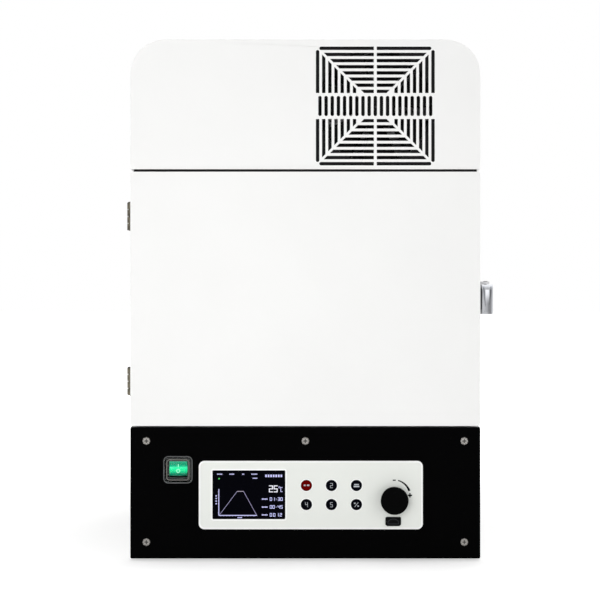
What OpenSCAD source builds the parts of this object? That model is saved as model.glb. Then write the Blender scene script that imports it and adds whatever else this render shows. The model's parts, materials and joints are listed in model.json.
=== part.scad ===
// Bench microwave sintering furnace for dental work.
// Front face looks along -Y, +Z is up, the floor is Z = 0 and the origin is the
// middle of the furnace's footprint. Inside the file, y counts back from the
// front face of the door, and in_frame() moves everything to the origin.

/* [Cabinet] */
// Width of the casing
cab_w = 350; // [330:1:420]
// Depth of the casing, front face to rear panel
cab_d = 440; // [420:1:520]
// Height of the lower control section, above the casing's bottom edge
base_h = 131.2; // [128:0.1:160]
// Height of the door
door_h = 254.3; // [250:0.1:300]
// Room in the hood above and below the fan, together
hood_room = 9.7; // [8:0.1:40]
// Radius of the hood's two top corners
corner_r = 35; // [20:1:38]
// Thickness of the casing's sheet steel
sheet = 1.5; // [1:0.1:2]
// Depth of the pressed hood front, face to seam
hood_lip = 20; // [12:1:28]
// Height of the gap between hood and door
hood_gap = 2.5; // [2:0.1:5]
// Height of the gap between door and control section
base_gap = 1.3; // [0.8:0.1:3]
// Width of the folded flanges
flange_w = 12; // [8:1:16]

/* [Feet] */
// Height of the part of each foot below the casing
foot_h = 2; // [1.5:0.5:12]
// Radius of a foot
foot_r = 15; // [10:1:20]
// Distance of a foot's centre from the casing's sides
foot_inset = 32; // [26:1:50]

/* [Door] */
// Thickness of the door
door_t = 30; // [26:1:36]
// Gap between the closed door and the front frame
door_seat = 1.5; // [1.2:0.1:2.5]
// Radius of the door's corners
door_corner_r = 3; // [1:0.5:6]
// How far the pressed choke step stands proud of the inner panel
choke_step = 7.5; // [5:0.5:9]
// Gap between the choke step and the cavity walls
choke_gap = 2; // [1.5:0.1:4]
// Width of the insulating plug at its root
plug_w = 130; // [110:1:134]
// Height of the insulating plug
plug_h = 118; // [100:1:119]
// Length of the insulating plug, from the choke step inward
plug_len = 37; // [25:1:38]
// Taper of the plug on each side, in plan
plug_taper = 7; // [5:0.5:12]
// Radius of a hinge knuckle
knuckle_r = 3; // [2.5:0.1:4]
// Radius of a hinge pin
hinge_pin_r = 1.5; // [1:0.1:1.8]
// Length of one hinge
hinge_len = 28; // [24:1:50]
// Number of knuckles in one hinge
knuckles = 4; // [2:2:6]
// Distance of each hinge's middle from the middle of the door
hinge_pitch = 84; // [60:1:95]

/* [Latch] */
// Height of the latch's finger block
latch_h = 29.6; // [24:0.1:40]
// Distance of the latch pivot from the casing's side
latch_out = 10.7; // [10:0.1:13]
// Radius of the latch ears round the pivot
latch_ear_r = 4; // [3.5:0.1:5]
// Distance of the latch pivot behind the front frame
latch_back = 13.5; // [12:0.5:18]
// Height of the keeper hump on the door's edge
keeper_h = 4; // [3:0.1:4.5]

/* [Cavity] */
// Room between the cavity and each side of the casing
side_room = 55; // [50:1:65]
// Height of the front frame's rim above and below the cavity
cavity_rim = 27.15; // [20:0.05:35]
// Depth of the cavity
cavity_d = 268; // [250:1:290]
// Width and height of the firing chamber
chamber = 120; // [100:1:125]
// Depth of the firing chamber, behind the plug
chamber_d = 140; // [120:1:150]
// Gap all round the plug in the chamber's mouth
mouth_gap = 3; // [2.5:0.1:4]
// Gap between the choke step and the insulation
block_gap = 7.5; // [4:0.5:10]
// Thickness of the hearth plate
hearth_t = 6; // [4:0.5:10]
// Thickness of a susceptor plate
susceptor_t = 4; // [3:0.5:6]
// Number of susceptor plates on each side
susceptors = 3; // [2:1:4]
// Radius of the thermocouple sheath
probe_r = 4; // [3:0.1:5]

/* [Exhaust] */
// Outer radius of the exhaust spigot
spigot_r = 25; // [20:0.5:30]
// Length of the spigot behind the rear panel
spigot_len = 25; // [15:1:40]

/* [Fan] */
// Side of the fan's square frame
fan_size = 120; // [118:1:122]
// Thickness of the fan
fan_t = 25; // [24:1:32]
// Distance of the fan's middle from the casing's right side
fan_edge = 105; // [100:1:130]
// Number of fan blades
blades = 7; // [5:1:9]
// Twist of a blade over its depth, in degrees
blade_twist = 38; // [20:1:45]

/* [Grille] */
// Width of one grille slot
slot_w = 3.3; // [2.5:0.1:3.6]
// Distance from slot to slot
slot_pitch = 6.15; // [5.5:0.01:6.6]
// Number of slots on each side of the grille
grille_slots = 8; // [6:1:8]
// Width of the lands that cross the grille
land_w = 3; // [2.4:0.1:4]
// Height of the band of short slots across the middle
band_h = 23; // [16:0.1:24]

/* [Control section] */
// Thickness of the black front panel
panel_t = 3; // [2:0.5:4]
// Width of the control plate
plate_w = 223.8; // [215:0.1:230]
// Height of the control plate
plate_h = 68.2; // [66:0.1:72]
// Middle of the control plate, right of the casing's middle
plate_x = 5.5; // [-5:0.5:10]
// Middle of the control plate, above the casing's bottom edge
plate_z = 63.6; // [60:0.1:70]
// Thickness of the control plate
plate_t = 1.5; // [1:0.1:2.5]
// Radius of the control plate's corners
plate_corner_r = 5.5; // [3:0.5:8]
// Width of the display's visible area
display_w = 72.8; // [70:0.1:76]
// Height of the display's visible area
display_h = 48.8; // [46:0.1:50]
// Radius of a key cap
key_r = 5.3; // [4.5:0.1:6]
// Distance between keys in a row
key_pitch = 25; // [20:0.1:25.5]
// Distance between the two rows of keys
key_row = 19.1; // [16:0.1:22]
// Travel of a key
key_travel = 0.6; // [0.3:0.1:0.9]
// Radius of the knob
knob_r = 13.8; // [11:0.1:15]
// Height of the knob
knob_h = 13; // [11:0.5:24]
// Radius of the encoder's shaft
shaft_r = 3; // [2.5:0.1:3.2]
// Width of the service port's opening
port_w = 15.7; // [14:0.1:18]
// Height of the service port's opening
port_h = 8.7; // [7.5:0.1:10]

/* [Power switch] */
// Width of the clear switch cover
boot_w = 29.2; // [29:0.1:33]
// Height of the clear switch cover
boot_h = 27.3; // [26.5:0.1:31]
// How far the clear cover stands proud
boot_out = 8; // [7.6:0.1:10]
// Width of the rocker
rocker_w = 17.4; // [15:0.1:18]
// Height of the rocker
rocker_h = 14; // [13:0.1:15.2]
// Tilt of the rocker each way, in degrees
rocker_tilt = 10; // [6:1:12]

/* [Clearances] */
// Gap between moving pieces and what they pass
clear = 0.3; // [0.3:0.05:0.5]
// Gap between a shaft or pin and its bore
running = 0.05; // [0.02:0.01:0.09]

/* [Hidden] */
$fn = 64;
// Tiny overlap that keeps cuts clean
eps = 0.01;

// Heights of the three front sections
floor_z = foot_h;
hood_h = fan_size + hood_room;
base_top = floor_z + base_h;
door_z0 = base_top + base_gap;
door_z1 = door_z0 + door_h;
door_mid = (door_z0 + door_z1) / 2;
hood_z = door_z1 + hood_gap;
cab_top = hood_z + hood_h;
side_x = cab_w / 2;
cavity_w = cab_w - 2 * side_room;
cavity_h = door_h - 2 * cavity_rim;
fan_x = side_x - fan_edge;
inner_x = side_x - sheet;
rear_y = cab_d;

// Front frame and cavity
frame_y = door_t + door_seat;
frame_back = frame_y + sheet;
cavity_z0 = door_mid - cavity_h / 2;
cavity_z1 = door_mid + cavity_h / 2;
cavity_back = frame_back + cavity_d;
choke_y = door_t + choke_step;
block_y0 = choke_y + block_gap;
plug_end = choke_y + plug_len;
mouth_w = plug_w + 2 * mouth_gap;
mouth_h = plug_h + 2 * mouth_gap;
chamber_y0 = plug_end + mouth_gap;
chamber_y1 = chamber_y0 + chamber_d;
chamber_z0 = door_mid - chamber / 2;
chamber_z1 = door_mid + chamber / 2;
probe_x = -chamber / 4;
probe_y = (chamber_y0 + chamber_y1) / 2;
probe_dip = 18;
probe_head_r = 14;
probe_head_h = 22;
probe_cap_r = 10;

// Hinges: the pin stands outside the casing, level with the door's seat
hinge_out = 0.6;
hinge_x = -(side_x + knuckle_r + hinge_out);
hinge_y = door_t + door_seat / 2;
hinge_zs = [door_mid - hinge_pitch, door_mid + hinge_pitch];
leaf_t = 1.2;
leaf_w = 20;
leaf_off = 3;
leaf_gap = 0.5;
pin_end = 0.4;
pin_head = 0.8;
knuckle_h = (hinge_len - (knuckles - 1) * leaf_gap) / knuckles;

// Latch
latch_x = side_x + latch_out;
latch_y = frame_y + latch_back;
latch_z0 = door_mid - latch_h / 2 - 0.45;
latch_z1 = latch_z0 + latch_h;
latch_ear_t = 2.8;
latch_pin_r = 1.6;
latch_pin_head = 0.5;
latch_plate_t = 2;
latch_plate_edge = 5;
latch_front = 2;
latch_end = 0.4;
latch_ear_z0 = latch_z0;
latch_ear_z1 = latch_z1 + latch_end + clear;
hub_z0 = latch_ear_z0 + latch_ear_t + clear + latch_end;
finger_in = side_x + 1.6;
finger_out = latch_x + 2.3;
finger_back = latch_front + 17;
finger_rim = 1.3;
lever_arm_in = latch_x - 3.2;
lever_arm_out = latch_x + 1.2;
scoop_off = 2;
scoop_top = (finger_out - finger_in) / 2 - finger_rim;
scoop_low = 1.2;
scoop_edge = 2;
tooth_y = 14.2;
tooth_root = side_x + keeper_h + 1.5;
keeper_t = 1;
keeper_w = 22;
keeper_y = 6;
hump_y = tooth_y + clear;

// Vents and feet of the casing
vent_w = 4;
louvres = 10;
louvre_len = 44;
louvre_pitch = 8;
pan_slots = 9;
pan_slot_len = 90;
pan_slot_pitch = 12;
rear_vents = 5;
rear_vent_pitch = 9;
hot_vent_len = 70;
cool_vent_len = 60;
foot_stem_r = 4;
pan_flange = 15;
frame_skirt = 22;
rear_screw_r = 1.6;

// Fan and magnetron behind it
fan_y = sheet + clear;
fan_lift = 3.2;
fan_z = hood_z + fan_size / 2 + fan_lift;
fan_back = fan_y + fan_t;
fan_bore = fan_size / 2 - 2.5;
fan_hub_r = 20;
fan_shaft_r = 1.5;
strut_t = 2.5;
fan_hole = 105 / 2;
fan_screw_r = 2.15;
fan_flange_t = 4;
blade_t = 1.6;
hub_wall = 1.5;
guide_w = 92;
guide_h = 44;
guide_y0 = 70;
guide_len = 180;
guide_top = cavity_z1 + sheet + guide_h;
magnetron_w = 95;
magnetron_d = 80;
magnetron_h = 62;
magnetron_y = 75;
antenna_r = 9;
anode_r = 19;
fins = 10;
fin_pitch = 5;

// Control section, all behind or on the control plate
plate_mid_z = floor_z + plate_z;
plate_x0 = plate_x - plate_w / 2;
display_x = plate_x0 + 13.6 + display_w / 2;
display_z = plate_mid_z + 0.3;
key_x = plate_x - 4.4;
key_z = plate_mid_z + 9.6;
knob_off = 83;
port_off = 82.3;
knob_x = plate_x + knob_off;
port_x = plate_x + port_off;
knob_z = plate_mid_z - 4.2;
port_z = plate_mid_z - 26.1;
window_edge = 6;
chip_w = 18;
chip_t = 1.4;
header_w = 40;
header_t = 8;
can_pitch = 14;
can_h = 12;
can_r = 4;
display_t = 3.4;
flap_face = plate_t + 1.2;
flap_bead_r = 0.6;
usb_w = 13.1;
usb_h = 5.8;
usb_wall = 0.5;
board_y = 8;
board_t = 1.6;
board_edge = 5;
spacer_r = 3;
plunger_h = 2.1;
stem_r = 1.6;
stem_end = board_y - plunger_h - key_travel - clear;
key_flange = 1;
key_face = plate_t + 0.6;
key_round = 0.35;
knob_gap = 0.5;
knob_roof = 4;
knob_round = 1;
knob_foot_r = knob_r - 1.2;
shaft_tail = 6;
bushing_r = shaft_r + 0.7;
front_reach = plate_t + knob_gap + knob_h;
switch_gap = 5.8;
switch_top = 41.7;
switch_x = plate_x0 - switch_gap - boot_w / 2;
switch_z = base_top - switch_top;
switch_body_w = 22;
switch_body_h = 19;
switch_body_d = 17;
bezel_t = 1.8;
bezel_edge = 1.5;
boot_corner_r = 5;
pivot_pin_r = 0.8;
pivot_pin_len = 1.2;
screw_head_r = 4.1;
screw_r = 2;
screw_gap = 0.25;
screw_sink = 0.15;
screw_head_h = 2;
screw_len = 9;
screw_x = side_x - 16;
screw_zs = [base_top - 13.7, floor_z + 16.3];

// Door tray, its seal and the interlock beside the cavity
tray_r = door_corner_r * 0.8;
gasket_in = 5;
gasket_wide = 6;
tongue_t = 3;
tongue_h = 16;
tongue_x = cavity_w / 2 + gasket_in + gasket_wide + 3 + tongue_t / 2;
tongue_z = door_mid + tongue_h * 3;
tongue_reach = 12;
tongue_slot = 8;
microswitch_w = 10;
microswitch_d = 28;
microswitch_h = 20;

// Electronics on the base pan
transformer_w = 100;
transformer_d = 60;
transformer_h = 84;
transformer_y = 150;
transformer_edge = 35;
foot_plate = 5;
capacitor_w = 56;
capacitor_t = 35;
capacitor_len = 95;
supply_w = 98;
supply_d = 159;
supply_h = 38;
supply_edge = 20;
supply_terminals = 18;
supply_slot = 50;

// Rear
inlet_side = 60;
inlet_up = 55;
inlet_x = side_x - inlet_side;
inlet_z = floor_z + inlet_up;
inlet_w = 27;
inlet_h = 20;
inlet_deep = 14;
inlet_ear_x = 20;
inlet_ear_r = 6;
inlet_wall = 1.3;
inlet_rim = 7;
inlet_tail = 10;
blade_places = [[-7, -1], [7, -1], [0, 3]];
flue_r = 9;
wall_t = 1.5;
flue_in = 40;
cone_len = 50;
collar = 9;

// Shift from the front-face frame to the middle of the footprint
reach_left = knuckle_r - hinge_x;
reach_right = latch_x + latch_ear_r;
shift_x = (reach_left - reach_right) / 2;
shift_y = (front_reach - rear_y - spigot_len) / 2;

module in_frame() translate([shift_x, shift_y, 0]) children();

// A flat outline drawn in x and z, made solid from y0 back to y1
module along_y(y0, y1) translate([0, y1, 0]) rotate([90, 0, 0]) linear_extrude(y1 - y0) children();

// A flat outline drawn in y and z, made solid from x0 to x1
module along_x(x0, x1)
    translate([x0, 0, 0]) rotate([90, 0, 90]) linear_extrude(x1 - x0) children();

// A box given by its two corners
module block(low, high) translate(low) cube(high - low);

// Rounded rectangle about a centre
module rounded(w, h, r, at = [0, 0])
    translate(at) union() {
        square([w - 2 * r, h], center = true);
        square([w, h - 2 * r], center = true);
        for (sx = [-1, 1], sy = [-1, 1])
            translate([sx * (w / 2 - r), sy * (h / 2 - r)]) circle(r);
    }

// Slot with round ends, along the first axis
module slot(len, w, at = [0, 0])
    translate(at) union() {
        square([len - w, w], center = true);
        for (s = [-1, 1]) translate([s * (len - w) / 2, 0]) circle(w / 2, $fn = 24);
    }

// Front view of the casing, drawn in by inset and standing on height low
module casing_outline(inset, low) {
    half = side_x - inset;
    r = corner_r - inset;
    top = cab_top - inset;
    translate([-half, low]) square([2 * half, top - r - low]);
    translate([-half + r, top - r - 1]) square([2 * (half - r), r + 1]);
    for (s = [-1, 1]) translate([s * (half - r), top - r]) circle(r);
}

module outer_wrap() color("whitesmoke") in_frame() difference() {
    union() {
        difference() {
            along_y(panel_t, rear_y - sheet) casing_outline(0, floor_z);
            along_y(0, rear_y) casing_outline(sheet, floor_z - 1);
        }
        difference() {
            along_y(rear_y - 2 * sheet, rear_y - sheet) casing_outline(sheet, floor_z);
            along_y(rear_y - 3 * sheet, rear_y) casing_outline(sheet + flange_w, floor_z - 1);
        }
    }
    block([-cab_w, 0, base_top], [cab_w, frame_y, hood_z]);
    block([-cab_w, 0, hood_z - eps], [cab_w, hood_lip + 0.2, cab_top + 1]);
    // Side louvres beside the electronics
    for (i = [0 : louvres - 1])
        along_x(-cab_w, cab_w)
            slot(louvre_len, vent_w, [rear_y / 2 + 10, floor_z + 36 + i * louvre_pitch]);
}

// A grille slot along the first axis, square at low and round at high
module half_slot(low, high, at) {
    translate([low, at - slot_w / 2]) square([high - low - slot_w / 2, slot_w]);
    translate([high - slot_w / 2, at]) circle(slot_w / 2, $fn = 24);
}

// A grille slot along the first axis, square at low and cut at 45 degrees at high
module mitred_slot(low, high, at)
    polygon([
        [low, at - slot_w / 2], [high, at - slot_w / 2], [high + slot_w, at + slot_w / 2],
        [low, at + slot_w / 2],
    ]);

// All the slots of the square fan grille, about its centre
module grille() {
    low = (band_h + land_w) / 2;
    outer = low + (grille_slots - 1) * slot_pitch + slot_w / 2;
    mitre = slot_w / 2 + land_w * 0.6;
    for (i = [0 : grille_slots - 1]) {
        at = outer - i * slot_pitch;
        // Level slots above and below, split by the centre land
        for (sx = [-1, 1], sz = [-1, 1]) scale([sx, sz])
            if (i == 0) half_slot(land_w / 2, at - land_w * 0.6, at);
            else mitred_slot(land_w / 2, at - mitre, at);
        // Upright slots left and right, cut short by the middle band
        if (at - mitre - low > slot_w)
            for (sx = [-1, 1], sz = [-1, 1]) scale([sx, sz]) mirror([1, -1])
                if (i == 0) half_slot(low, at - land_w * 0.6, at);
                else mitred_slot(low, at - mitre, at);
    }
    // Middle band of short upright slots
    for (i = [-grille_slots - 1 : grille_slots + 1])
        translate([i * slot_pitch, 0]) rotate(90) slot(band_h - land_w, slot_w);
}

// Outline of the hood front, drawn in by inset
module hood_outline(inset) intersection() {
    casing_outline(inset, hood_z);
    translate([-cab_w, hood_z + inset]) square([2 * cab_w, hood_h]);
}

module hood_front() color("whitesmoke") in_frame() difference() {
    along_y(0, hood_lip) hood_outline(0);
    along_y(sheet, hood_lip + 1) hood_outline(sheet);
    along_y(-1, hood_lip / 2) translate([fan_x, fan_z]) grille();
}

module hood_trim() color("black") in_frame()
    block([-side_x + 3.5, 1, door_z1 + clear], [side_x - 3.5, frame_y - 3, hood_z]);

module front_frame() color("gainsboro") in_frame() difference() {
    union() {
        block([-inner_x, frame_y, base_top - sheet], [inner_x, frame_back, hood_z + sheet]);
        block([-inner_x, hood_lip + 0.2, hood_z], [inner_x, frame_y + eps, hood_z + sheet]);
        block([-inner_x, panel_t, base_top - sheet], [inner_x, frame_y + eps, base_top]);
        block([-inner_x, panel_t, base_top - frame_skirt],
              [inner_x, panel_t + sheet, base_top - sheet + eps]);
    }
    along_y(frame_y - 1, frame_back + 1) rounded(cavity_w, cavity_h, 4, [0, door_mid]);
    along_y(frame_y - 1, frame_back + 1)
        translate([tongue_x, tongue_z]) square([tongue_slot, tongue_h + 4], center = true);
    for (x = [-screw_x, 0, screw_x])
        along_y(0, panel_t + 2 * sheet) translate([x, screw_zs[0]]) circle(screw_r + screw_gap);
}

module base_pan() color("gainsboro") in_frame() difference() {
    union() {
        block([-inner_x, panel_t, floor_z], [inner_x, rear_y - 2 * sheet, floor_z + sheet]);
        for (s = [-1, 1])
            block([s > 0 ? inner_x - sheet : -inner_x, panel_t, floor_z],
                  [s > 0 ? inner_x : -inner_x + sheet, rear_y - 2 * sheet, floor_z + pan_flange]);
        block([-inner_x, panel_t, floor_z], [inner_x, panel_t + sheet, floor_z + frame_skirt + 2]);
    }
    for (x = [-screw_x, screw_x])
        along_y(0, panel_t + 2 * sheet) translate([x, screw_zs[1]]) circle(screw_r + screw_gap);
    // Air slots under the electronics
    for (i = [0 : pan_slots - 1])
        translate([0, transformer_y + i * pan_slot_pitch, floor_z - 1])
            linear_extrude(3 * sheet) slot(pan_slot_len, vent_w);
    for (p = foot_places) translate([p[0], p[1], floor_z - 1]) cylinder(h = 4, r = foot_stem_r + 0.2);
}

foot_places = [
    for (x = [-side_x + foot_inset, side_x - foot_inset], y = [foot_inset, rear_y - foot_inset]) [x, y],
];

module feet() color("black") in_frame()
    for (p = foot_places) translate([p[0], p[1], 0]) rotate_extrude()
        polygon([
            [0, 0], [foot_r - 0.6, 0], [foot_r, 0.6], [foot_r, foot_h],
            [foot_stem_r, foot_h], [foot_stem_r, foot_h + sheet], [foot_stem_r + 1.5, foot_h + sheet],
            [foot_stem_r, foot_h + sheet + 3], [0, foot_h + sheet + 3],
        ]);

// Rear panel, with the hot air outlet behind the magnetron
module rear_panel() color("whitesmoke") in_frame() difference() {
    along_y(rear_y - sheet, rear_y) casing_outline(0.5, floor_z + 0.5);
    along_y(rear_y - 2 * sheet, rear_y + 1) {
        for (i = [-rear_vents : rear_vents]) {
            translate([fan_x + i * rear_vent_pitch, fan_z - 2]) rotate(90) slot(hot_vent_len, vent_w);
            translate([i * rear_vent_pitch - fan_x, floor_z + 56]) rotate(90) slot(cool_vent_len, vent_w);
        }
        translate([0, door_mid]) circle(spigot_r - wall_t + clear);
        translate([inlet_x, inlet_z]) square([inlet_w + 0.4, inlet_h + 0.4], center = true);
    }
    for (p = rear_screw_places)
        along_y(rear_y - 2 * sheet, rear_y + 1) translate(p) circle(rear_screw_r + 0.1);
}

rear_screw_places = [
    for (s = [-1, 1], z = [floor_z + 20, base_top, door_mid + 30, cab_top - corner_r - 12])
        [s * (side_x - sheet - flange_w / 2), z],
];

module pan_screw(r, head_r, head_h, len) rotate_extrude($fn = 32)
    polygon([
        [0, -len], [r, -len], [r, 0], [head_r, 0], [head_r, head_h * 0.5],
        [head_r * 0.7, head_h], [0, head_h],
    ]);

module casing_screws() color("silver") in_frame()
    for (p = rear_screw_places) translate([p[0], rear_y, p[1]]) rotate([-90, 0, 0])
        difference() {
            pan_screw(rear_screw_r, 3.4, 2.2, 1.4);
            for (a = [0, 90]) rotate([0, 0, a])
                translate([0, 0, 2]) cube([3.6, 0.8, 1.6], center = true);
        }

module front_panel() color([0.04, 0.04, 0.05]) in_frame() difference() {
    along_y(0, panel_t)
        rounded(cab_w, base_h, 1.5, [0, floor_z + base_h / 2]);
    along_y(-1, panel_t + 1) {
        rounded(plate_w - 2 * window_edge, plate_h - 2 * window_edge, 2, [plate_x, plate_mid_z]);
        translate([port_x, port_z]) square([port_w + 5, port_h + 4], center = true);
        translate([switch_x, switch_z]) square([switch_body_w + 0.4, switch_body_h + 0.4], center = true);
    }
    for (p = panel_screw_places)
        translate([p[0], 0, p[1]]) rotate([-90, 0, 0]) {
            translate([0, 0, -eps])
                cylinder(h = screw_head_h + eps, r1 = screw_head_r + screw_gap, r2 = screw_r + screw_gap);
            cylinder(h = panel_t + 1, r = screw_r + screw_gap);
        }
}

panel_screw_places = concat(
    [for (x = [-screw_x, 0, screw_x]) [x, screw_zs[0]]],
    [for (x = [-screw_x, screw_x]) [x, screw_zs[1]]]);

module panel_screws() color("dimgray") in_frame()
    for (p = panel_screw_places) translate([p[0], screw_sink, p[1]]) rotate([-90, 0, 0])
        difference() {
            union() {
                cylinder(h = screw_head_h - screw_sink, r1 = screw_head_r - screw_gap, r2 = screw_r);
                cylinder(h = screw_len, r = screw_r);
            }
            for (a = [0, 90]) rotate([0, 0, a]) cube([screw_head_r, 0.9, screw_head_h], center = true);
        }

// Place of key number i, 0 to 5
function key_place(i) = [key_x + (i % 3) * key_pitch, key_z - floor(i / 3) * key_row];

module control_plate() color([0.9, 0.91, 0.9]) in_frame() difference() {
    along_y(-plate_t, 0) rounded(plate_w, plate_h, plate_corner_r, [plate_x, plate_mid_z]);
    along_y(-plate_t - 1, 1) {
        rounded(display_w, display_h, 1.2, [display_x, display_z]);
        for (i = [0 : 5]) translate(key_place(i)) circle(key_r + clear);
        translate([knob_x, knob_z]) circle(bushing_r + clear);
        rounded(port_w, port_h, 1.5, [port_x, port_z]);
    }
}

module display_window() color([0.1, 0.1, 0.14]) in_frame()
    along_y(-plate_t + 0.2, 0) rounded(display_w - 0.2, display_h - 0.2, 1.1, [display_x, display_z]);

module display_module() color("dimgray") in_frame() {
    along_y(0, display_t)
        translate([display_x, display_z]) square([display_w + 11, display_h + 5.5], center = true);
    along_y(display_t, board_y)
        translate([display_x, display_z]) square([display_w - 14, display_h - 10], center = true);
}

module control_board() color("darkgreen") in_frame() difference() {
    union() {
        along_y(board_y, board_y + board_t)
            translate([plate_x, plate_mid_z])
                square([plate_w + 2 * board_edge, plate_h + 2 * board_edge - 2], center = true);
        for (i = [0 : 5])
            translate([key_place(i)[0], 0, key_place(i)[1]]) {
                block([-3, board_y - plunger_h + 0.7, -3], [3, board_y, 3]);
                translate([0, board_y - plunger_h, 0]) rotate([-90, 0, 0]) cylinder(h = 1, r = stem_r);
            }
        // Main chip, headers and capacitors on the back
        block([plate_x - 30, board_y + board_t, plate_mid_z - 8],
              [plate_x - 30 + chip_w, board_y + board_t + chip_t, plate_mid_z - 8 + chip_w]);
        block([plate_x + 8, board_y + board_t, plate_mid_z + 18],
              [plate_x + 8 + header_w, board_y + board_t + header_t, plate_mid_z + 18 + header_t]);
        for (i = [0 : 2])
            translate([plate_x - 70 + i * can_pitch, board_y + board_t, plate_mid_z - can_pitch])
                rotate([-90, 0, 0]) cylinder(h = can_h, r = can_r);
    }
    for (p = spacer_places)
        along_y(board_y - 1, board_y + board_t + 1) translate(p) circle(1.6);
}

spacer_places = [
    for (sx = [-1, 1], sz = [-1, 1])
        [plate_x + sx * (plate_w / 2 - 0.8), plate_mid_z + sz * (plate_h / 2 - 1)],
];

module board_spacers() color("gold") in_frame()
    for (p = spacer_places) along_y(panel_t, board_y) translate(p) circle(spacer_r, $fn = 32);

module encoder() color("silver") in_frame() translate([knob_x, 0, knob_z]) {
    difference() {
        union() {
            block([-6.5, 1.5, -6.5], [6.5, board_y, 6.5]);
            rotate([90, 0, 0]) translate([0, 0, -2]) cylinder(h = 8, r = bushing_r);
            translate([0, -plate_t, 0]) rotate([90, 0, 0]) cylinder(h = 2, r = bushing_r * 1.5, $fn = 6);
        }
        rotate([90, 0, 0]) translate([0, 0, -board_y]) cylinder(h = 2 * board_y, r = shaft_r + running);
    }
}

module encoder_shaft() color("silver") in_frame() translate([knob_x, 0, knob_z])
    rotate([90, 0, 0]) translate([0, 0, -shaft_tail])
        cylinder(h = front_reach + shaft_tail - knob_roof, r = shaft_r);

// Plain knob, widest at its rounded face and hollow underneath round the bushing's nut
module knob() color([0.03, 0.03, 0.03]) in_frame() translate([knob_x, -plate_t - knob_gap, knob_z])
    rotate([90, 0, 0]) difference() {
        rotate_extrude($fn = 96) polygon(concat(
            [[0, 0], [knob_foot_r, 0]],
            [for (a = [0 : 15 : 90])
                [knob_r - knob_round * (1 - cos(a)), knob_h - knob_round * (1 - sin(a))]],
            [[0, knob_h]]));
        translate([0, 0, -1]) cylinder(h = 6, r = knob_r - 5);
        cylinder(h = knob_h - knob_roof + 0.1, r = shaft_r + running);
    }

module key(i) color(i == 0 ? [0.43, 0, 0.02] : [0.03, 0.03, 0.05]) in_frame()
    translate([key_place(i)[0], 0, key_place(i)[1]]) rotate([90, 0, 0]) rotate_extrude($fn = 48)
        polygon([
            [0, -stem_end], [stem_r, -stem_end], [stem_r, -key_flange - clear],
            [key_r + key_flange, -key_flange - clear], [key_r + key_flange, -clear], [key_r, -clear],
            [key_r, key_face - key_round], [key_r - key_round, key_face], [0, key_face],
        ]);

module usb_socket() color("silver") in_frame() translate([port_x, 0, port_z]) difference() {
    block([-usb_w / 2, clear, -usb_h / 2], [usb_w / 2, board_y, usb_h / 2]);
    difference() {
        block([usb_wall - usb_w / 2, 0, usb_wall - usb_h / 2],
              [usb_w / 2 - usb_wall, board_y - 1, usb_h / 2 - usb_wall]);
        // Tongue with the contacts
        block([2 * usb_wall - usb_w / 2, clear, usb_wall / 2],
              [usb_w / 2 - 2 * usb_wall, board_y, usb_h / 2 - 2 * usb_wall]);
    }
}

// Upright outline with a level foot and an arched head, about its middle
module arch(w, h) intersection() {
    square([w, h], center = true);
    translate([0, h / 2 - w * 0.62]) circle(w * 0.62);
}

// Rubber flap with an arched rib, turning about the bead along its lower front edge
module usb_flap() color([0.08, 0.08, 0.08]) in_frame() translate([port_x, 0, port_z]) {
    along_y(-flap_face, -0.9) rounded(port_w - 2 * clear, port_h - 2 * clear, 1.2);
    along_y(-flap_face - 0.5, eps - flap_face) difference() {
        arch(port_w - 4.5, port_h - 3);
        arch(port_w - 6, port_h - 4.5);
    }
    along_x(clear - port_w / 2 + 1.2, port_w / 2 - clear - 1.2)
        translate([-flap_face, clear - port_h / 2]) circle(flap_bead_r, $fn = 24);
}

// Snap-in rocker switch body with its bezel on the panel
module switch_housing() color([0.05, 0.05, 0.05]) in_frame() translate([switch_x, 0, switch_z])
    difference() {
        union() {
            along_y(-bezel_t, 0)
                rounded(switch_body_w + 2 * bezel_edge, switch_body_h + 2 * bezel_edge, 2);
            block([-switch_body_w / 2, 0, -switch_body_h / 2],
                  [switch_body_w / 2, panel_t + switch_body_d, switch_body_h / 2]);
            // Flat tabs for the wires
            for (z = [-5, 0, 5])
                translate([0, panel_t + switch_body_d + 5, z]) cube([6.4, 11, 0.8], center = true);
        }
        block([-rocker_w / 2 - 0.4, -bezel_t - 1, -rocker_pit], [rocker_w / 2 + 0.4, 8, rocker_pit]);
        along_x(-rocker_w / 2 - pivot_pin_len - 0.2, rocker_w / 2 + pivot_pin_len + 0.2)
            translate([rocker_pivot, 0]) circle(pivot_pin_r, $fn = 24);
    }

rocker_pivot = 1.2;
rocker_face = 3.4;
rocker_front = rocker_face + rocker_pivot;
rocker_pit = (rocker_h / 2) * cos(rocker_tilt) + rocker_front * sin(rocker_tilt) + clear;

// Rocker seen from its side, pressed in at the top
module power_rocker() color([0, 0.55, 0.25]) in_frame()
    translate([switch_x, rocker_pivot, switch_z]) rotate([-rocker_tilt, 0, 0]) {
        along_x(-rocker_w / 2, rocker_w / 2)
            polygon([
                [-rocker_front, -rocker_h / 2], [1.1 - rocker_front, 0],
                [-rocker_front, rocker_h / 2], [-0.5, rocker_h / 2 - 0.6],
                [3.2, 2.5], [3.2, -2.5], [-0.5, -rocker_h / 2 + 0.6],
            ]);
        along_x(-rocker_w / 2 - pivot_pin_len, rocker_w / 2 + pivot_pin_len)
            circle(pivot_pin_r - running, $fn = 24);
    }

module switch_boot() color([0.75, 0.85, 0.85]) in_frame() translate([switch_x, 0, switch_z])
    difference() {
        union() {
            along_y(1 - boot_out, 0) rounded(boot_w, boot_h, boot_corner_r);
            along_y(-boot_out, 1 - boot_out + eps) rounded(boot_w - 2, boot_h - 2, boot_corner_r - 1);
        }
        along_y(1.2 - boot_out, 1)
            rounded(boot_w - 2 * wall_t, boot_h - 2 * wall_t, boot_corner_r - wall_t);
    }

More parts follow.
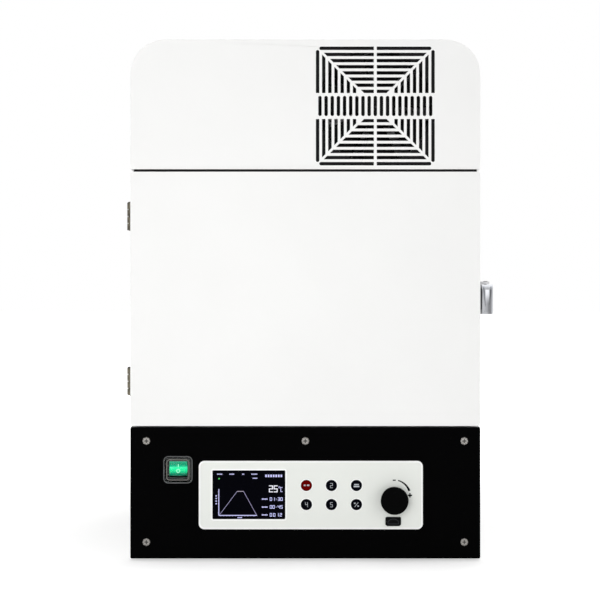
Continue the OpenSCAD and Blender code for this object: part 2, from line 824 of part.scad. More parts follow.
// Knuckles number first, first + 2 and so on of every hinge, with their leaf on one side
module leaves(first, dir) for (zc = hinge_zs) {
    z0 = zc - hinge_len / 2;
    translate([0, 0, z0]) linear_extrude(hinge_len)
        translate([-side_x - leaf_t, hinge_y + (dir > 0 ? leaf_off : -leaf_off - leaf_w)])
            square([leaf_t, leaf_w]);
    for (k = [first : 2 : knuckles - 1])
        translate([0, 0, z0 + k * (knuckle_h + leaf_gap)]) difference() {
            linear_extrude(knuckle_h) {
                translate([hinge_x, hinge_y]) circle(knuckle_r);
                // Strap that runs off the knuckle into the leaf
                polygon([
                    [hinge_x, hinge_y + dir * (knuckle_r - leaf_t - 0.1)],
                    [-side_x, hinge_y + dir * (leaf_off + 0.4)],
                    [-side_x, hinge_y + dir * (leaf_off + 1.8)],
                    [-side_x - leaf_t, hinge_y + dir * (leaf_off + 1.8)],
                    [hinge_x, hinge_y + dir * (knuckle_r - 0.1)],
                ]);
            }
            translate([hinge_x, hinge_y, -1])
                cylinder(h = knuckle_h + 2, r = hinge_pin_r + running);
        }
}

module hinge_frame_leaves() color("rosybrown") in_frame() leaves(0, 1);

module hinge_door_leaves() color("rosybrown") in_frame() leaves(1, -1);

module hinge_pins() color("dimgray") in_frame()
    for (zc = hinge_zs) translate([hinge_x, hinge_y, zc - hinge_len / 2 - pin_end]) {
        cylinder(h = hinge_len + 2 * pin_end, r = hinge_pin_r);
        translate([0, 0, hinge_len + pin_end]) cylinder(h = pin_head, r = hinge_pin_r + pin_head);
    }

// Plate on the casing's side with an ear above and below the lever
module latch_base() color("silver") in_frame() difference() {
    union() {
        block([side_x, latch_y - 9, latch_z0 - latch_plate_edge],
              [side_x + latch_plate_t, latch_y + 15, latch_z1 + latch_plate_edge]);
        for (z = [latch_ear_z0, latch_ear_z1])
            translate([0, 0, z]) linear_extrude(latch_ear_t) {
                translate([latch_x, latch_y]) circle(latch_ear_r);
                translate([side_x, latch_y - latch_ear_r]) square([latch_out, 2 * latch_ear_r]);
            }
    }
    translate([latch_x, latch_y, latch_z0 - 2 * latch_plate_edge])
        cylinder(h = latch_h + 4 * latch_plate_edge, r = latch_pin_r + running);
}

module latch_pin() color("dimgray") in_frame()
    translate([latch_x, latch_y, latch_ear_z0]) {
        cylinder(h = latch_ear_z1 + latch_ear_t - latch_ear_z0, r = latch_pin_r);
        translate([0, 0, latch_ear_z1 + latch_ear_t - latch_ear_z0])
            cylinder(h = latch_pin_head, r = latch_pin_r + latch_pin_head);
    }

// Lever: a finger block with a tapered scoop, its tooth behind, and the arm to the pivot
module latch_lever() color("silver") in_frame() difference() {
    union() {
        translate([0, 0, latch_z0]) linear_extrude(latch_h) polygon([
            [finger_in, latch_front + 1], [finger_in + 0.7, latch_front],
            [finger_out - 0.9, latch_front], [finger_out, latch_front + 1],
            [finger_out, finger_back - 4], [lever_arm_out, finger_back], [lever_arm_in, finger_back],
            [tooth_root, tooth_y + 1], [tooth_root, tooth_y], [finger_in, tooth_y],
        ]);
        block([lever_arm_in, finger_back - 1, hub_z0], [lever_arm_out, latch_y, latch_z1]);
        translate([latch_x, latch_y, hub_z0 - latch_end])
            cylinder(h = latch_z1 - hub_z0 + 2 * latch_end, r = latch_ear_r - clear);
    }
    translate([latch_x, latch_y, latch_z0 - 1]) cylinder(h = latch_h + 2, r = latch_pin_r + running);
    // Scoop for the finger, narrower towards its foot
    translate([(finger_in + finger_out) / 2, latch_front - scoop_off, latch_z0 + scoop_edge])
        cylinder(h = latch_h - 2 * scoop_edge, r1 = norm([scoop_low, scoop_off]),
                 r2 = norm([scoop_top, scoop_off]));
}

// Screwed-on strike with a ramped hump
module latch_keeper() color("silver") in_frame()
    translate([0, 0, door_mid - keeper_w / 2]) linear_extrude(keeper_w)
        polygon([
            [side_x, keeper_y], [side_x + keeper_t, keeper_y], [side_x + keeper_t, hump_y],
            [side_x + keeper_h, hump_y], [side_x + keeper_h, hump_y + 1.6],
            [side_x + keeper_t, hump_y + 6], [side_x + keeper_t, door_t - 3], [side_x, door_t - 3],
        ]);

module fan_frame() color([0.12, 0.12, 0.12]) in_frame() translate([fan_x, 0, fan_z]) difference() {
    union() {
        difference() {
            along_y(fan_y, fan_back) rounded(fan_size, fan_size, 4);
            along_y(fan_y - 1, fan_back + 1) circle(fan_bore, $fn = 96);
            // Waist between the two mounting flanges
            along_y(fan_y + fan_flange_t, fan_back - fan_flange_t) difference() {
                square(fan_size + 2, center = true);
                circle(fan_size / 2 - 0.6, $fn = 96);
            }
        }
        along_y(fan_back - strut_t, fan_back) {
            circle(fan_hub_r);
            for (a = [45 : 90 : 315]) rotate(a)
                translate([0, -2]) square([fan_bore + 1, 4]);
        }
        along_y(fan_y + 9, fan_back - 1) circle(fan_hub_r - 2.8);
    }
    along_y(fan_y - 1, fan_back + 1)
        for (sx = [-1, 1], sz = [-1, 1]) translate([sx, sz] * fan_hole) circle(fan_screw_r);
    along_y(fan_y - 1, fan_back - 1) circle(fan_shaft_r + running);
}

// Cup-shaped hub over the motor, with twisted blades
module fan_impeller() color([0.16, 0.16, 0.17]) in_frame() translate([fan_x, fan_y + 2.2, fan_z])
    rotate([-90, 0, 0]) {
        rotate_extrude() polygon([
            [fan_shaft_r + running, 0], [fan_hub_r - 2, 0], [fan_hub_r, 2], [fan_hub_r, fan_t - 6],
            [fan_hub_r - hub_wall, fan_t - 6], [fan_hub_r - hub_wall, hub_wall + 1],
            [fan_shaft_r + running, hub_wall + 1],
        ]);
        for (i = [0 : blades - 1]) rotate([0, 0, i * 360 / blades])
            translate([0, 0, 2.4])
                linear_extrude(fan_t - 9, twist = blade_twist, slices = 5, segments = 8)
                    translate([fan_hub_r - hub_wall / 2, -blade_t / 2])
                        square([fan_bore - fan_hub_r - hub_wall / 2, blade_t]);
    }

module fan_shaft() color("silver") in_frame() translate([fan_x, fan_y + 2.3, fan_z])
    rotate([-90, 0, 0]) cylinder(h = fan_t - 4.5, r = fan_shaft_r, $fn = 32);

// Sheet cowl that leads the fan's air into the magnetron
module air_duct() color("silver") in_frame() difference() {
    hull() {
        along_y(fan_back + clear, fan_back + clear + 1)
            translate([fan_x, fan_z]) square(fan_size - 2, center = true);
        along_y(magnetron_y - 1 - clear, magnetron_y - clear)
            translate([fan_x, guide_top + 1.5 + magnetron_h / 2])
                square([magnetron_w, magnetron_h], center = true);
    }
    hull() {
        along_y(fan_back + clear - eps, fan_back + clear + 1)
            translate([fan_x, fan_z]) square(fan_size - 4, center = true);
        along_y(magnetron_y - 1 - clear, magnetron_y - clear + eps)
            translate([fan_x, guide_top + 1.5 + magnetron_h / 2])
                square([magnetron_w - 2, magnetron_h - 2], center = true);
    }
}

module cavity() color("lightsteelblue") in_frame() difference() {
    block([-cavity_w / 2 - sheet, frame_back, cavity_z0 - sheet],
          [cavity_w / 2 + sheet, cavity_back, cavity_z1 + sheet]);
    block([-cavity_w / 2, frame_back - 1, cavity_z0],
          [cavity_w / 2, cavity_back - sheet, cavity_z1]);
    // Feed opening under the waveguide
    block([fan_x - guide_w / 2 + 4, guide_y0 + guide_len - 48, cavity_z1 - 1],
          [fan_x + guide_w / 2 - 4, guide_y0 + guide_len - 6, cavity_z1 + 3]);
    translate([probe_x, probe_y, cavity_z1 - 1]) cylinder(h = 4, r = probe_r + 1);
    translate([0, cavity_back - 3, door_mid]) rotate([-90, 0, 0]) cylinder(h = 6, r = flue_r + clear);
}

// Fibre block with the chamber, the plug's tapered mouth and the flue
module insulation_block() color("ivory") in_frame() difference() {
    block([-cavity_w / 2, block_y0, cavity_z0], [cavity_w / 2, cavity_back - sheet, cavity_z1]);
    block([-chamber / 2, block_y0, chamber_z0], [chamber / 2, chamber_y1, chamber_z1]);
    block([-mouth_w / 2, block_y0 - 1, door_mid - mouth_h / 2],
          [mouth_w / 2, chamber_y0, door_mid + mouth_h / 2]);
    translate([probe_x, probe_y, chamber_z1 - 1])
        cylinder(h = cavity_z1 - chamber_z1 + 2, r = probe_r + clear);
    translate([0, chamber_y1 - 1, door_mid]) rotate([-90, 0, 0])
        cylinder(h = cavity_back - chamber_y1, r = flue_r + clear);
}

module hearth_plate() color("white") in_frame()
    translate([0, (chamber_y0 + chamber_y1) / 2, chamber_z0]) linear_extrude(hearth_t)
        rounded(chamber - 2 * susceptor_t - 3, chamber_d - 8, 4);

// Upright plates along both side walls, which take up the microwaves
module susceptor_plates() color("dimgray") in_frame() {
    step = (chamber_d - 8) / susceptors;
    for (s = [-1, 1], i = [0 : susceptors - 1])
        block([s > 0 ? chamber / 2 - susceptor_t : -chamber / 2,
               chamber_y0 + 4 + i * step + 2, chamber_z0],
              [s > 0 ? chamber / 2 : -chamber / 2 + susceptor_t,
               chamber_y0 + 4 + (i + 1) * step - 2, chamber_z1 - 10]);
}

// Ceramic sheath with its connection head on the cavity's roof
module thermocouple() color("white") in_frame()
    translate([probe_x, probe_y, cavity_z1 + sheet]) rotate_extrude()
        polygon([
            [0, chamber_z1 - probe_dip - cavity_z1], [probe_r - 1, chamber_z1 - probe_dip - cavity_z1],
            [probe_r, chamber_z1 - probe_dip - cavity_z1 + 1], [probe_r, 0], [probe_head_r, 0],
            [probe_head_r, probe_head_h * 0.55], [probe_cap_r, probe_head_h * 0.7],
            [probe_cap_r, probe_head_h], [0, probe_head_h],
        ]);

// Flue from the chamber, widening to the hose spigot on the rear
module exhaust_duct() color("lightsteelblue") in_frame() translate([0, 0, door_mid])
    rotate([-90, 0, 0]) rotate_extrude($fn = 96) polygon([
        [flue_r, cavity_back - flue_in], [flue_r, cavity_back], [flue_r + collar, cavity_back],
        [flue_r + collar, cavity_back + wall_t], [flue_r + wall_t, cavity_back + wall_t],
        [spigot_r - wall_t, cavity_back + cone_len], [spigot_r - wall_t, rear_y],
        [spigot_r + collar, rear_y], [spigot_r + collar, rear_y + wall_t], [spigot_r, rear_y + wall_t],
        [spigot_r, rear_y + spigot_len], [spigot_r - 2 * wall_t, rear_y + spigot_len],
        [spigot_r - 2 * wall_t, cavity_back + cone_len],
        [flue_r - wall_t, cavity_back + 2 * wall_t], [flue_r - wall_t, cavity_back - flue_in],
    ]);

module waveguide() color("lightsteelblue") in_frame() difference() {
    block([fan_x - guide_w / 2, guide_y0, cavity_z1 + sheet],
          [fan_x + guide_w / 2, guide_y0 + guide_len, guide_top]);
    block([fan_x - guide_w / 2 + sheet, guide_y0 + sheet, cavity_z1],
          [fan_x + guide_w / 2 - sheet, guide_y0 + guide_len - sheet, guide_top - sheet]);
    translate([fan_x, magnetron_y + magnetron_d / 2, guide_top - 3]) cylinder(h = 6, r = 16);
}

// Magnetron: yoke, cooling fins, anode, antenna dome and filter box
module magnetron() color("silver") in_frame()
    translate([fan_x, magnetron_y, guide_top]) {
        half = magnetron_w / 2;
        block([-half, 0, 0], [half, magnetron_d, sheet]);
        block([-half, 0, magnetron_h], [half, magnetron_d, magnetron_h + sheet]);
        for (s = [-1, 1])
            block([s > 0 ? half - sheet : -half, 0, 0],
                  [s > 0 ? half : sheet - half, magnetron_d, magnetron_h + sheet]);
        translate([0, magnetron_d / 2, -14]) cylinder(h = 15, r = antenna_r);
        translate([0, magnetron_d / 2, 0]) cylinder(h = magnetron_h + 1, r = anode_r);
        for (i = [0 : fins - 1])
            block([1 - half, 5, 8 + i * fin_pitch], [half - 1, magnetron_d - 5, 9 + i * fin_pitch]);
        translate([0, magnetron_d / 2, magnetron_h + sheet + 12]) cube([56, 50, 25], center = true);
    }

// Laminated core on its foot plate, with a winding either side of the middle limb
module hv_transformer() color("peru") in_frame()
    translate([-side_x + transformer_edge, transformer_y, floor_z + sheet]) {
        block([-foot_plate, -foot_plate, 0],
              [transformer_w + foot_plate, transformer_d + foot_plate, 2.5]);
        block([0, 0, 2], [transformer_w, transformer_d, transformer_h]);
        for (share = [0.25, 0.75])
            translate([transformer_w * share, transformer_d / 2, 2.5])
                linear_extrude(transformer_h - 20)
                    rounded(transformer_w * 0.3, transformer_d + 30, 8);
    }

module hv_capacitor() color("silver") in_frame()
    translate([-side_x + transformer_edge + transformer_w / 2,
               transformer_y + transformer_d + 30, floor_z + sheet + capacitor_t / 2]) {
        along_y(0, capacitor_len) slot(capacitor_w, capacitor_t);
        for (s = [-1, 1])
            block([s * capacitor_w / 6 - 3, capacitor_len - 1, -0.4],
                  [s * capacitor_w / 6 + 3, capacitor_len + 9, 0.4]);
    }

// Vented case, cut away over its terminals
module power_supply() color("gainsboro") in_frame()
    translate([side_x - supply_edge - supply_w, transformer_y, floor_z + sheet]) difference() {
        cube([supply_w, supply_d, supply_h]);
        block([sheet, -1, supply_h / 3], [supply_w - sheet, supply_terminals, supply_h + 1]);
        for (i = [0 : 8])
            translate([supply_w * (0.2 + i * 0.08), supply_d * 0.55, supply_h - 1])
                linear_extrude(3) rotate(90) slot(supply_slot, 3);
    }

// Fused appliance inlet with its three blades
module mains_inlet() color([0.08, 0.08, 0.08]) in_frame() translate([inlet_x, 0, inlet_z]) difference() {
    union() {
        along_y(rear_y, rear_y + 3) difference() {
            union() {
                square([inlet_w + inlet_rim, inlet_h + inlet_rim], center = true);
                for (s = [-1, 1]) translate([s * inlet_ear_x, 0]) circle(inlet_ear_r);
            }
            for (s = [-1, 1]) translate([s * inlet_ear_x, 0]) circle(1.8);
        }
        block([-inlet_w / 2, rear_y - inlet_deep - inlet_tail, -inlet_h / 2],
              [inlet_w / 2, rear_y + 1, inlet_h / 2]);
    }
    difference() {
        block([inlet_wall - inlet_w / 2, rear_y - inlet_deep, inlet_wall + 0.5 - inlet_h / 2],
              [inlet_w / 2 - inlet_wall, rear_y + 4, inlet_h / 2 - inlet_wall - 0.5]);
        for (p = blade_places)
            block([p[0] - 1, rear_y - inlet_deep - 1, p[1] - 2], [p[0] + 1, rear_y - 1, p[1] + 2]);
    }
}

// Interlock: a tongue on the door reaches a microswitch behind the frame
module interlock_tongue() color("white") in_frame()
    block([tongue_x - tongue_t / 2, door_t, tongue_z - tongue_h / 2],
          [tongue_x + tongue_t / 2, frame_back + tongue_reach, tongue_z + tongue_h / 2]);

module interlock_switch() color([0.1, 0.1, 0.1]) in_frame() {
    x = tongue_x + tongue_slot / 2;
    block([x, frame_back, tongue_z - microswitch_h / 2],
          [x + microswitch_w, frame_back + microswitch_d, tongue_z + microswitch_h / 2]);
    block([x - 1.5, frame_back + tongue_reach * 0.7, tongue_z - 1.5],
          [x + 1, frame_back + tongue_reach * 0.7 + 3, tongue_z + 1.5]);
}

// Pressed door tray
module door_shell() color("whitesmoke") in_frame() difference() {
    along_y(0, door_t) rounded(cab_w, door_h, door_corner_r, [0, door_mid]);
    along_y(sheet, door_t + 1)
        rounded(cab_w - 2 * sheet, door_h - 2 * sheet, tray_r, [0, door_mid]);
}

module door_insulation() color("ivory") in_frame()
    block([-inner_x + 8, sheet, door_z0 + 10], [inner_x - 8, door_t - sheet, door_z1 - 10]);

// Inner panel with its pressed choke step
module door_inner_panel() color("lightsteelblue") in_frame() difference() {
    union() {
        along_y(door_t - sheet, door_t)
            rounded(cab_w - 2 * sheet - 0.2, door_h - 2 * sheet - 0.2, tray_r, [0, door_mid]);
        along_y(door_t - eps, choke_y)
            rounded(cavity_w - 2 * choke_gap, cavity_h - 2 * choke_gap, 6, [0, door_mid]);
    }
    along_y(door_t - sheet - 1, choke_y - sheet)
        rounded(cavity_w - 2 * (choke_gap + sheet), cavity_h - 2 * (choke_gap + sheet), 4.5, [0, door_mid]);
}

module door_gasket() color([0.25, 0.25, 0.25]) in_frame() difference() {
    out = 2 * (gasket_in + gasket_wide);
    along_y(door_t, frame_y - clear) rounded(cavity_w + out, cavity_h + out, 8, [0, door_mid]);
    along_y(door_t - 1, frame_y)
        rounded(cavity_w + 2 * gasket_in, cavity_h + 2 * gasket_in, 5, [0, door_mid]);
}

// Fibre plug, narrower inward so that it clears the mouth as the door swings
module door_plug() color("ivory") in_frame()
    translate([0, 0, door_mid - plug_h / 2]) linear_extrude(plug_h) polygon([
        [-plug_w / 2, choke_y], [plug_w / 2, choke_y],
        [plug_w / 2 - plug_taper, plug_end], [-plug_w / 2 + plug_taper, plug_end],
    ]);

outer_wrap();
hood_front();
hood_trim();
front_frame();
base_pan();
rear_panel();
feet();
casing_screws();
front_panel();
panel_screws();
control_plate();
display_window();
display_module();
control_board();
board_spacers();
encoder();
usb_socket();
switch_housing();
switch_boot();
hinge_frame_leaves();
hinge_pins();
latch_base();
latch_pin();
fan_frame();
air_duct();
cavity();
insulation_block();
hearth_plate();
susceptor_plates();
thermocouple();
exhaust_duct();
waveguide();
magnetron();
hv_transformer();
hv_capacitor();
power_supply();
mains_inlet();
interlock_switch();
door_shell();
door_insulation();
door_inner_panel();
door_gasket();
door_plug();
hinge_door_leaves();
latch_keeper();
interlock_tongue();
latch_lever();
power_rocker();
key(0);  // key_1
key(1);  // key_2
key(2);  // key_3
key(3);  // key_4
key(4);  // key_5
key(5);  // key_6
knob();
encoder_shaft();
usb_flap();
fan_impeller();
fan_shaft();
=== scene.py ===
import json
import math

import bmesh
import bpy
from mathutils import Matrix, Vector


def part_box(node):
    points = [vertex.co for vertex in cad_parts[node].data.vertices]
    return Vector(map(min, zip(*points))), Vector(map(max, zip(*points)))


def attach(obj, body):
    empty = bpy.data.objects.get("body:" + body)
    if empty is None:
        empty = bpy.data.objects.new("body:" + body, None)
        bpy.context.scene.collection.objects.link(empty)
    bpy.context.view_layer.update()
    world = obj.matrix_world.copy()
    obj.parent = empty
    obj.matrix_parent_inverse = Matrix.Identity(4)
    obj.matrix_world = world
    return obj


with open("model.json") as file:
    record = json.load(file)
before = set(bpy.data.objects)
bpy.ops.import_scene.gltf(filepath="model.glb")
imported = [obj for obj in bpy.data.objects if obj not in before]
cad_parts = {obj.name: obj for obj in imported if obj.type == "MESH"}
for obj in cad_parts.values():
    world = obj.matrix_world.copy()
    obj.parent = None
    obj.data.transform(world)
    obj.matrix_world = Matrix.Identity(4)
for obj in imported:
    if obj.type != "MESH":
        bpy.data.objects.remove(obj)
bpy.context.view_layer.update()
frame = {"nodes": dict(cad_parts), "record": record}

# Dental sintering furnace. Lengths are in metres: a value in millimetres is multiplied by MM.

MM = 0.001
nodes = frame["nodes"]
scene = bpy.context.scene

# Planes and places that the frame gives
door_low, door_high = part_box("door_shell")
plate_low, plate_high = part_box("control_plate")
window_low, window_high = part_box("display_window")
knob_low, knob_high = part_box("knob")
FRONT_Y = door_low.y
PLATE_Y = plate_low.y

# The photograph: one pixel is one millimetre on the front plane
VIEW_DISTANCE = 1500 * MM
VIEW_CENTRE_X = -5.3 * MM
VIEW_CENTRE_Z = 260.5 * MM


def clean(value):
    """A colour of three numbers with its alpha."""
    return (*value, 1.0)


# Materials. A noise is given by its scale for each metre, its detail and its stretch, and a
# grain by its noise's scale and detail, the bump's strength and height, and the stretch.
PAINT_LEVEL = 0.5
SMOOTHEST, ROUGHEST = 0.02, 1.0
NOISE_LOW, NOISE_HIGH = 0.3, 0.7      # most of a noise lies between these


class Surface:
    """A Principled material, with helpers that add procedural detail to it."""

    def __init__(self, name, color, rough, metal=0.0):
        self.material = bpy.data.materials.new(name)
        self.material.use_nodes = True
        self.tree = self.material.node_tree
        self.shader = self.tree.nodes["Principled BSDF"]
        self.color = color
        self.rough = rough
        self.set("Base Color", clean(color))
        self.set("Roughness", rough)
        self.set("Metallic", metal)
        self.coords = self.add("ShaderNodeTexCoord")

    def add(self, kind, **settings):
        node = self.tree.nodes.new(kind)
        for key, value in settings.items():
            setattr(node, key, value)
        return node

    def link(self, out, into):
        self.tree.links.new(out, into)

    def set(self, socket, value):
        self.shader.inputs[socket].default_value = value
        return self

    def feed(self, socket, out):
        self.link(out, self.shader.inputs[socket])
        return self

    def axis(self, name):
        """The place along one axis of the piece's own box, from 0 to 1."""
        split = self.add("ShaderNodeSeparateXYZ")
        self.link(self.coords.outputs["Generated"], split.inputs["Vector"])
        return split.outputs[name]

    def ramp(self, factor, stops, interpolation="LINEAR"):
        """Colours between (place, colour) stops."""
        ramp = self.add("ShaderNodeValToRGB")
        ramp.color_ramp.interpolation = interpolation
        while len(ramp.color_ramp.elements) < len(stops):
            ramp.color_ramp.elements.new(0.5)
        for element, (place, color) in zip(ramp.color_ramp.elements, stops):
            element.position = place
            element.color = clean(color)
        self.link(factor, ramp.inputs["Fac"])
        return ramp.outputs["Color"]

    def carry(self, value, low, high, first, last, smooth=False):
        """A value moved from the range low to high into the range first to last."""
        node = self.add("ShaderNodeMapRange")
        if smooth:
            node.interpolation_type = "SMOOTHSTEP"
        for socket, limit in zip(("From Min", "From Max", "To Min", "To Max"),
                                 (low, high, first, last)):
            node.inputs[socket].default_value = limit
        self.link(value, node.inputs["Value"])
        return node.outputs["Result"]

    def compute(self, operation, first, second):
        """A math node of two values, each a number or another node's output."""
        node = self.add("ShaderNodeMath", operation=operation)
        for i, value in enumerate((first, second)):
            if isinstance(value, (int, float)):
                node.inputs[i].default_value = value
            else:
                self.link(value, node.inputs[i])
        return node.outputs[0]

    def mix(self, factor, first, second):
        """A blend of two colours, each a node's output or three numbers."""
        node = self.add("ShaderNodeMixRGB")
        self.link(factor, node.inputs["Fac"])
        for socket, color in (("Color1", first), ("Color2", second)):
            if isinstance(color, tuple):
                node.inputs[socket].default_value = clean(color)
            else:
                self.link(color, node.inputs[socket])
        return node.outputs["Color"]

    def noise(self, scale, detail=2.0, stretch=(1, 1, 1)):
        """Noise in the object's own metres, stretched along an axis for brushed metal."""
        mapping = self.add("ShaderNodeMapping")
        mapping.inputs["Scale"].default_value = stretch
        self.link(self.coords.outputs["Object"], mapping.inputs["Vector"])
        noise = self.add("ShaderNodeTexNoise")
        noise.inputs["Scale"].default_value = scale
        noise.inputs["Detail"].default_value = detail
        self.link(mapping.outputs["Vector"], noise.inputs["Vector"])
        return noise.outputs["Fac"]

    def bump(self, height, strength, distance):
        """Adds a bump on top of those already there."""
        node = self.add("ShaderNodeBump")
        node.inputs["Strength"].default_value = strength
        node.inputs["Distance"].default_value = distance
        self.link(height, node.inputs["Height"])
        normal = self.shader.inputs["Normal"]
        if normal.is_linked:
            self.link(normal.links[0].from_socket, node.inputs["Normal"])
        self.link(node.outputs["Normal"], normal)
        return self

    def grain(self, scale, detail, strength, height, stretch=(1, 1, 1)):
        """A bump whose height is a noise."""
        return self.bump(self.noise(scale, detail, stretch), strength, height)

    def vary_rough(self, factor, spread):
        """Shine that changes with the factor, as far as spread to either side."""
        smooth = max(SMOOTHEST, self.rough - spread)
        coarse = min(ROUGHEST, self.rough + spread)
        return self.feed("Roughness", self.carry(factor, NOISE_LOW, NOISE_HIGH, smooth, coarse))

    def vary_color(self, factor, other, low=0.35, high=0.65):
        """The surface's own colour below low, and the other above high."""
        return self.feed("Base Color", self.ramp(factor, [(low, self.color), (high, other)]))

    def tinted(self, share):
        """The surface's own colour, times a share."""
        return tuple(c * share for c in self.color)


PAINT_DETAIL, PAINT_HEIGHT = 3, 0.06 * MM
ORANGE_PEEL = (260, 1, 0.05, 0.05 * MM)
PAINT_SHEEN, PAINT_SPREAD = (40, 2), 0.04
PAINT_CLOUD, PAINT_SHADE = (9, 2), 0.985


def sprayed(name, color, rough, scale=1500, strength=0.12, level=PAINT_LEVEL):
    """The surface of sprayed and baked paint: a fine grain on a broad orange peel."""
    s = Surface(name, color, rough)
    s.set("Specular IOR Level", level)
    s.grain(scale, PAINT_DETAIL, strength, PAINT_HEIGHT)
    s.grain(*ORANGE_PEEL)
    s.vary_rough(s.noise(*PAINT_SHEEN), PAINT_SPREAD)
    s.vary_color(s.noise(*PAINT_CLOUD), s.tinted(PAINT_SHADE))
    return s


def powder_coat(name, color, rough, *grain, level=PAINT_LEVEL):
    return sprayed(name, color, rough, *grain, level=level).material


# Slot walls: the colour and shine of the painted shade laid on them in place of the shadow inside
# the slots, and the steepness from which a face counts as one
SLOT_PAINTED_SHADE = (0.006, 0.006, 0.006)
SLOT_SHADE_LEVEL = 0.02
SLOT_SLOPE = 0.8


def slot_shaded_coat(name, color, rough, spans):
    """Painted sheet whose slot walls, between the spans of its box, carry painted shade in place
    of the shadow inside the slots.
    """
    s = sprayed(name, color, rough)
    normal = s.add("ShaderNodeSeparateXYZ")
    s.link(s.add("ShaderNodeNewGeometry").outputs["True Normal"], normal.inputs["Vector"])
    # Mask of the slot walls that take the painted shade
    slot_shade = s.compute("LESS_THAN", s.compute("ABSOLUTE", normal.outputs["Y"], 0), SLOT_SLOPE)
    for axis, low, high in spans:
        place = s.axis(axis)
        slot_shade = s.compute("MULTIPLY", slot_shade, s.compute("GREATER_THAN", place, low))
        slot_shade = s.compute("MULTIPLY", slot_shade, s.compute("LESS_THAN", place, high))
    paint = s.shader.inputs["Base Color"].links[0].from_socket
    # Painted shade on the slot walls: dark colour and little shine
    s.feed("Base Color", s.mix(slot_shade, paint, SLOT_PAINTED_SHADE))
    s.feed("Specular IOR Level", s.carry(slot_shade, 0, 1, PAINT_LEVEL, SLOT_SHADE_LEVEL))
    return s.material


LINE_DETAIL, LINE_SPREAD = 4, 0.09
LINE_BUMP = (0.08, 0.03 * MM)
METAL_CLOUD, METAL_SHADE = (30, 2), 0.86


def metal_sheet(name, color, rough, stretch=(1, 1, 60), scale=60):
    """Metal with the fine lines of brushing or rolling across one axis."""
    s = Surface(name, color, rough, 1.0)
    lines = s.noise(scale, LINE_DETAIL, stretch)
    s.bump(lines, *LINE_BUMP)
    s.vary_rough(lines, LINE_SPREAD)
    s.vary_color(s.noise(*METAL_CLOUD), s.tinted(METAL_SHADE))
    return s.material


SCREW_GRAIN = (900, 3, 0.08, 0.03 * MM)
# Depths in the head's box where its face's colour passes into the painted shade of the recess
FACE_DEPTH, RECESS_DEPTH = 0.02, 0.06


def screw_head(name, color, rough, recess):
    """Screw steel that is dull and dark in the driver's recess, behind the head's face, through
    painted shade.
    """
    s = Surface(name, color, rough, 1.0)
    # The recess takes painted shade: the head's colour passes into the darker one behind its face
    s.feed("Base Color", s.ramp(s.axis("Y"), [(FACE_DEPTH, color), (RECESS_DEPTH, recess)]))
    s.grain(*SCREW_GRAIN)
    return s.material


# Painted reflections on the chrome: tones from left to right, or from foot to head for the rim's
# painted highlight: (place, tone)
FOOT_PAINTED_REFLECTIONS = [
    (0.0, 0.5), (0.2, 0.42), (0.42, 0.4), (0.57, 0.22), (0.7, 0.2), (0.82, 0.46), (0.95, 0.8),
]
HEAD_PAINTED_REFLECTIONS = [
    (0.14, 0.34), (0.28, 0.48), (0.36, 0.95), (0.56, 0.95), (0.68, 0.2), (0.8, 0.3), (0.94, 0.8),
]
RIM_PAINTED_HIGHLIGHT = [(0.84, 0.46), (0.9, 0.56), (0.95, 0.8)]
CHROME_TINT = (1.0, 1.02, 1.07)
CHROME_GRAIN = (80, 3, 0.05, 0.03 * MM, (1, 1, 3))

# Heights on the lever between which the foot's painted reflections pass into the head's, then
# into the rim's painted highlight
HEAD_BLEND, RIM_BLEND = (0.3, 0.8), (0.8, 0.83)


def chrome_stops(tones):
    return [(place, tuple(tone * share for share in CHROME_TINT)) for place, tone in tones]


def lever_painted_reflections():
    """Chrome with painted reflections: its finger scoop shades from bright at its head to dull at
    its foot, under a painted highlight on the rim.
    """
    s = Surface("latch_chrome", (0.46, 0.47, 0.5), 0.14, 1.0)
    across, height = s.axis("X"), s.axis("Z")
    shade = s.ramp(across, chrome_stops(FOOT_PAINTED_REFLECTIONS))
    head = s.ramp(across, chrome_stops(HEAD_PAINTED_REFLECTIONS))
    rim = s.ramp(height, chrome_stops(RIM_PAINTED_HIGHLIGHT))
    for upper, blend in ((head, HEAD_BLEND), (rim, RIM_BLEND)):
        shade = s.mix(s.carry(height, *blend, 0, 1, smooth=True), shade, upper)
    # The painted reflections and highlight become the chrome's colour
    s.feed("Base Color", shade)
    s.grain(*CHROME_GRAIN)
    return s.material


WORN_LINES = (160, 4, (1, 1, 8))
MOTTLE, MOTTLE_SPAN = (240, 3), (0.36, 0.64)


def aged_metal(name, color, other, rough):
    """Plated metal that is mottled by handling and grease."""
    s = Surface(name, color, rough, 1.0)
    lines = s.noise(*WORN_LINES)
    s.bump(lines, *LINE_BUMP)
    s.vary_rough(lines, LINE_SPREAD)
    s.vary_color(s.noise(*MOTTLE), other, *MOTTLE_SPAN)
    return s.material


MOULD_DETAIL, MOULD_HEIGHT = 2, 0.03 * MM
MOULD_SHEEN, MOULD_SPREAD = (120, 2), 0.06
MOULD_CLOUD, MOULD_SHADE = (45, 2), 1.15


def moulded(name, color, rough, scale=2600, strength=0.15, level=PAINT_LEVEL):
    """Moulded plastic or rubber with a fine texture."""
    s = Surface(name, color, rough)
    s.set("Specular IOR Level", level)
    s.grain(scale, MOULD_DETAIL, strength, MOULD_HEIGHT)
    s.vary_rough(s.noise(*MOULD_SHEEN), MOULD_SPREAD)
    s.vary_color(s.noise(*MOULD_CLOUD), s.tinted(MOULD_SHADE))
    return s.material


FIBRE_FUZZ = (700, 5, 0.6, 0.5 * MM, (1, 1, 3))
FIBRE_LUMPS = (90, 3, 0.35, 0.8 * MM)
FIBRE_CLOUD, FIBRE_CLOUD_SPAN = (35, 5), (0.4, 0.75)


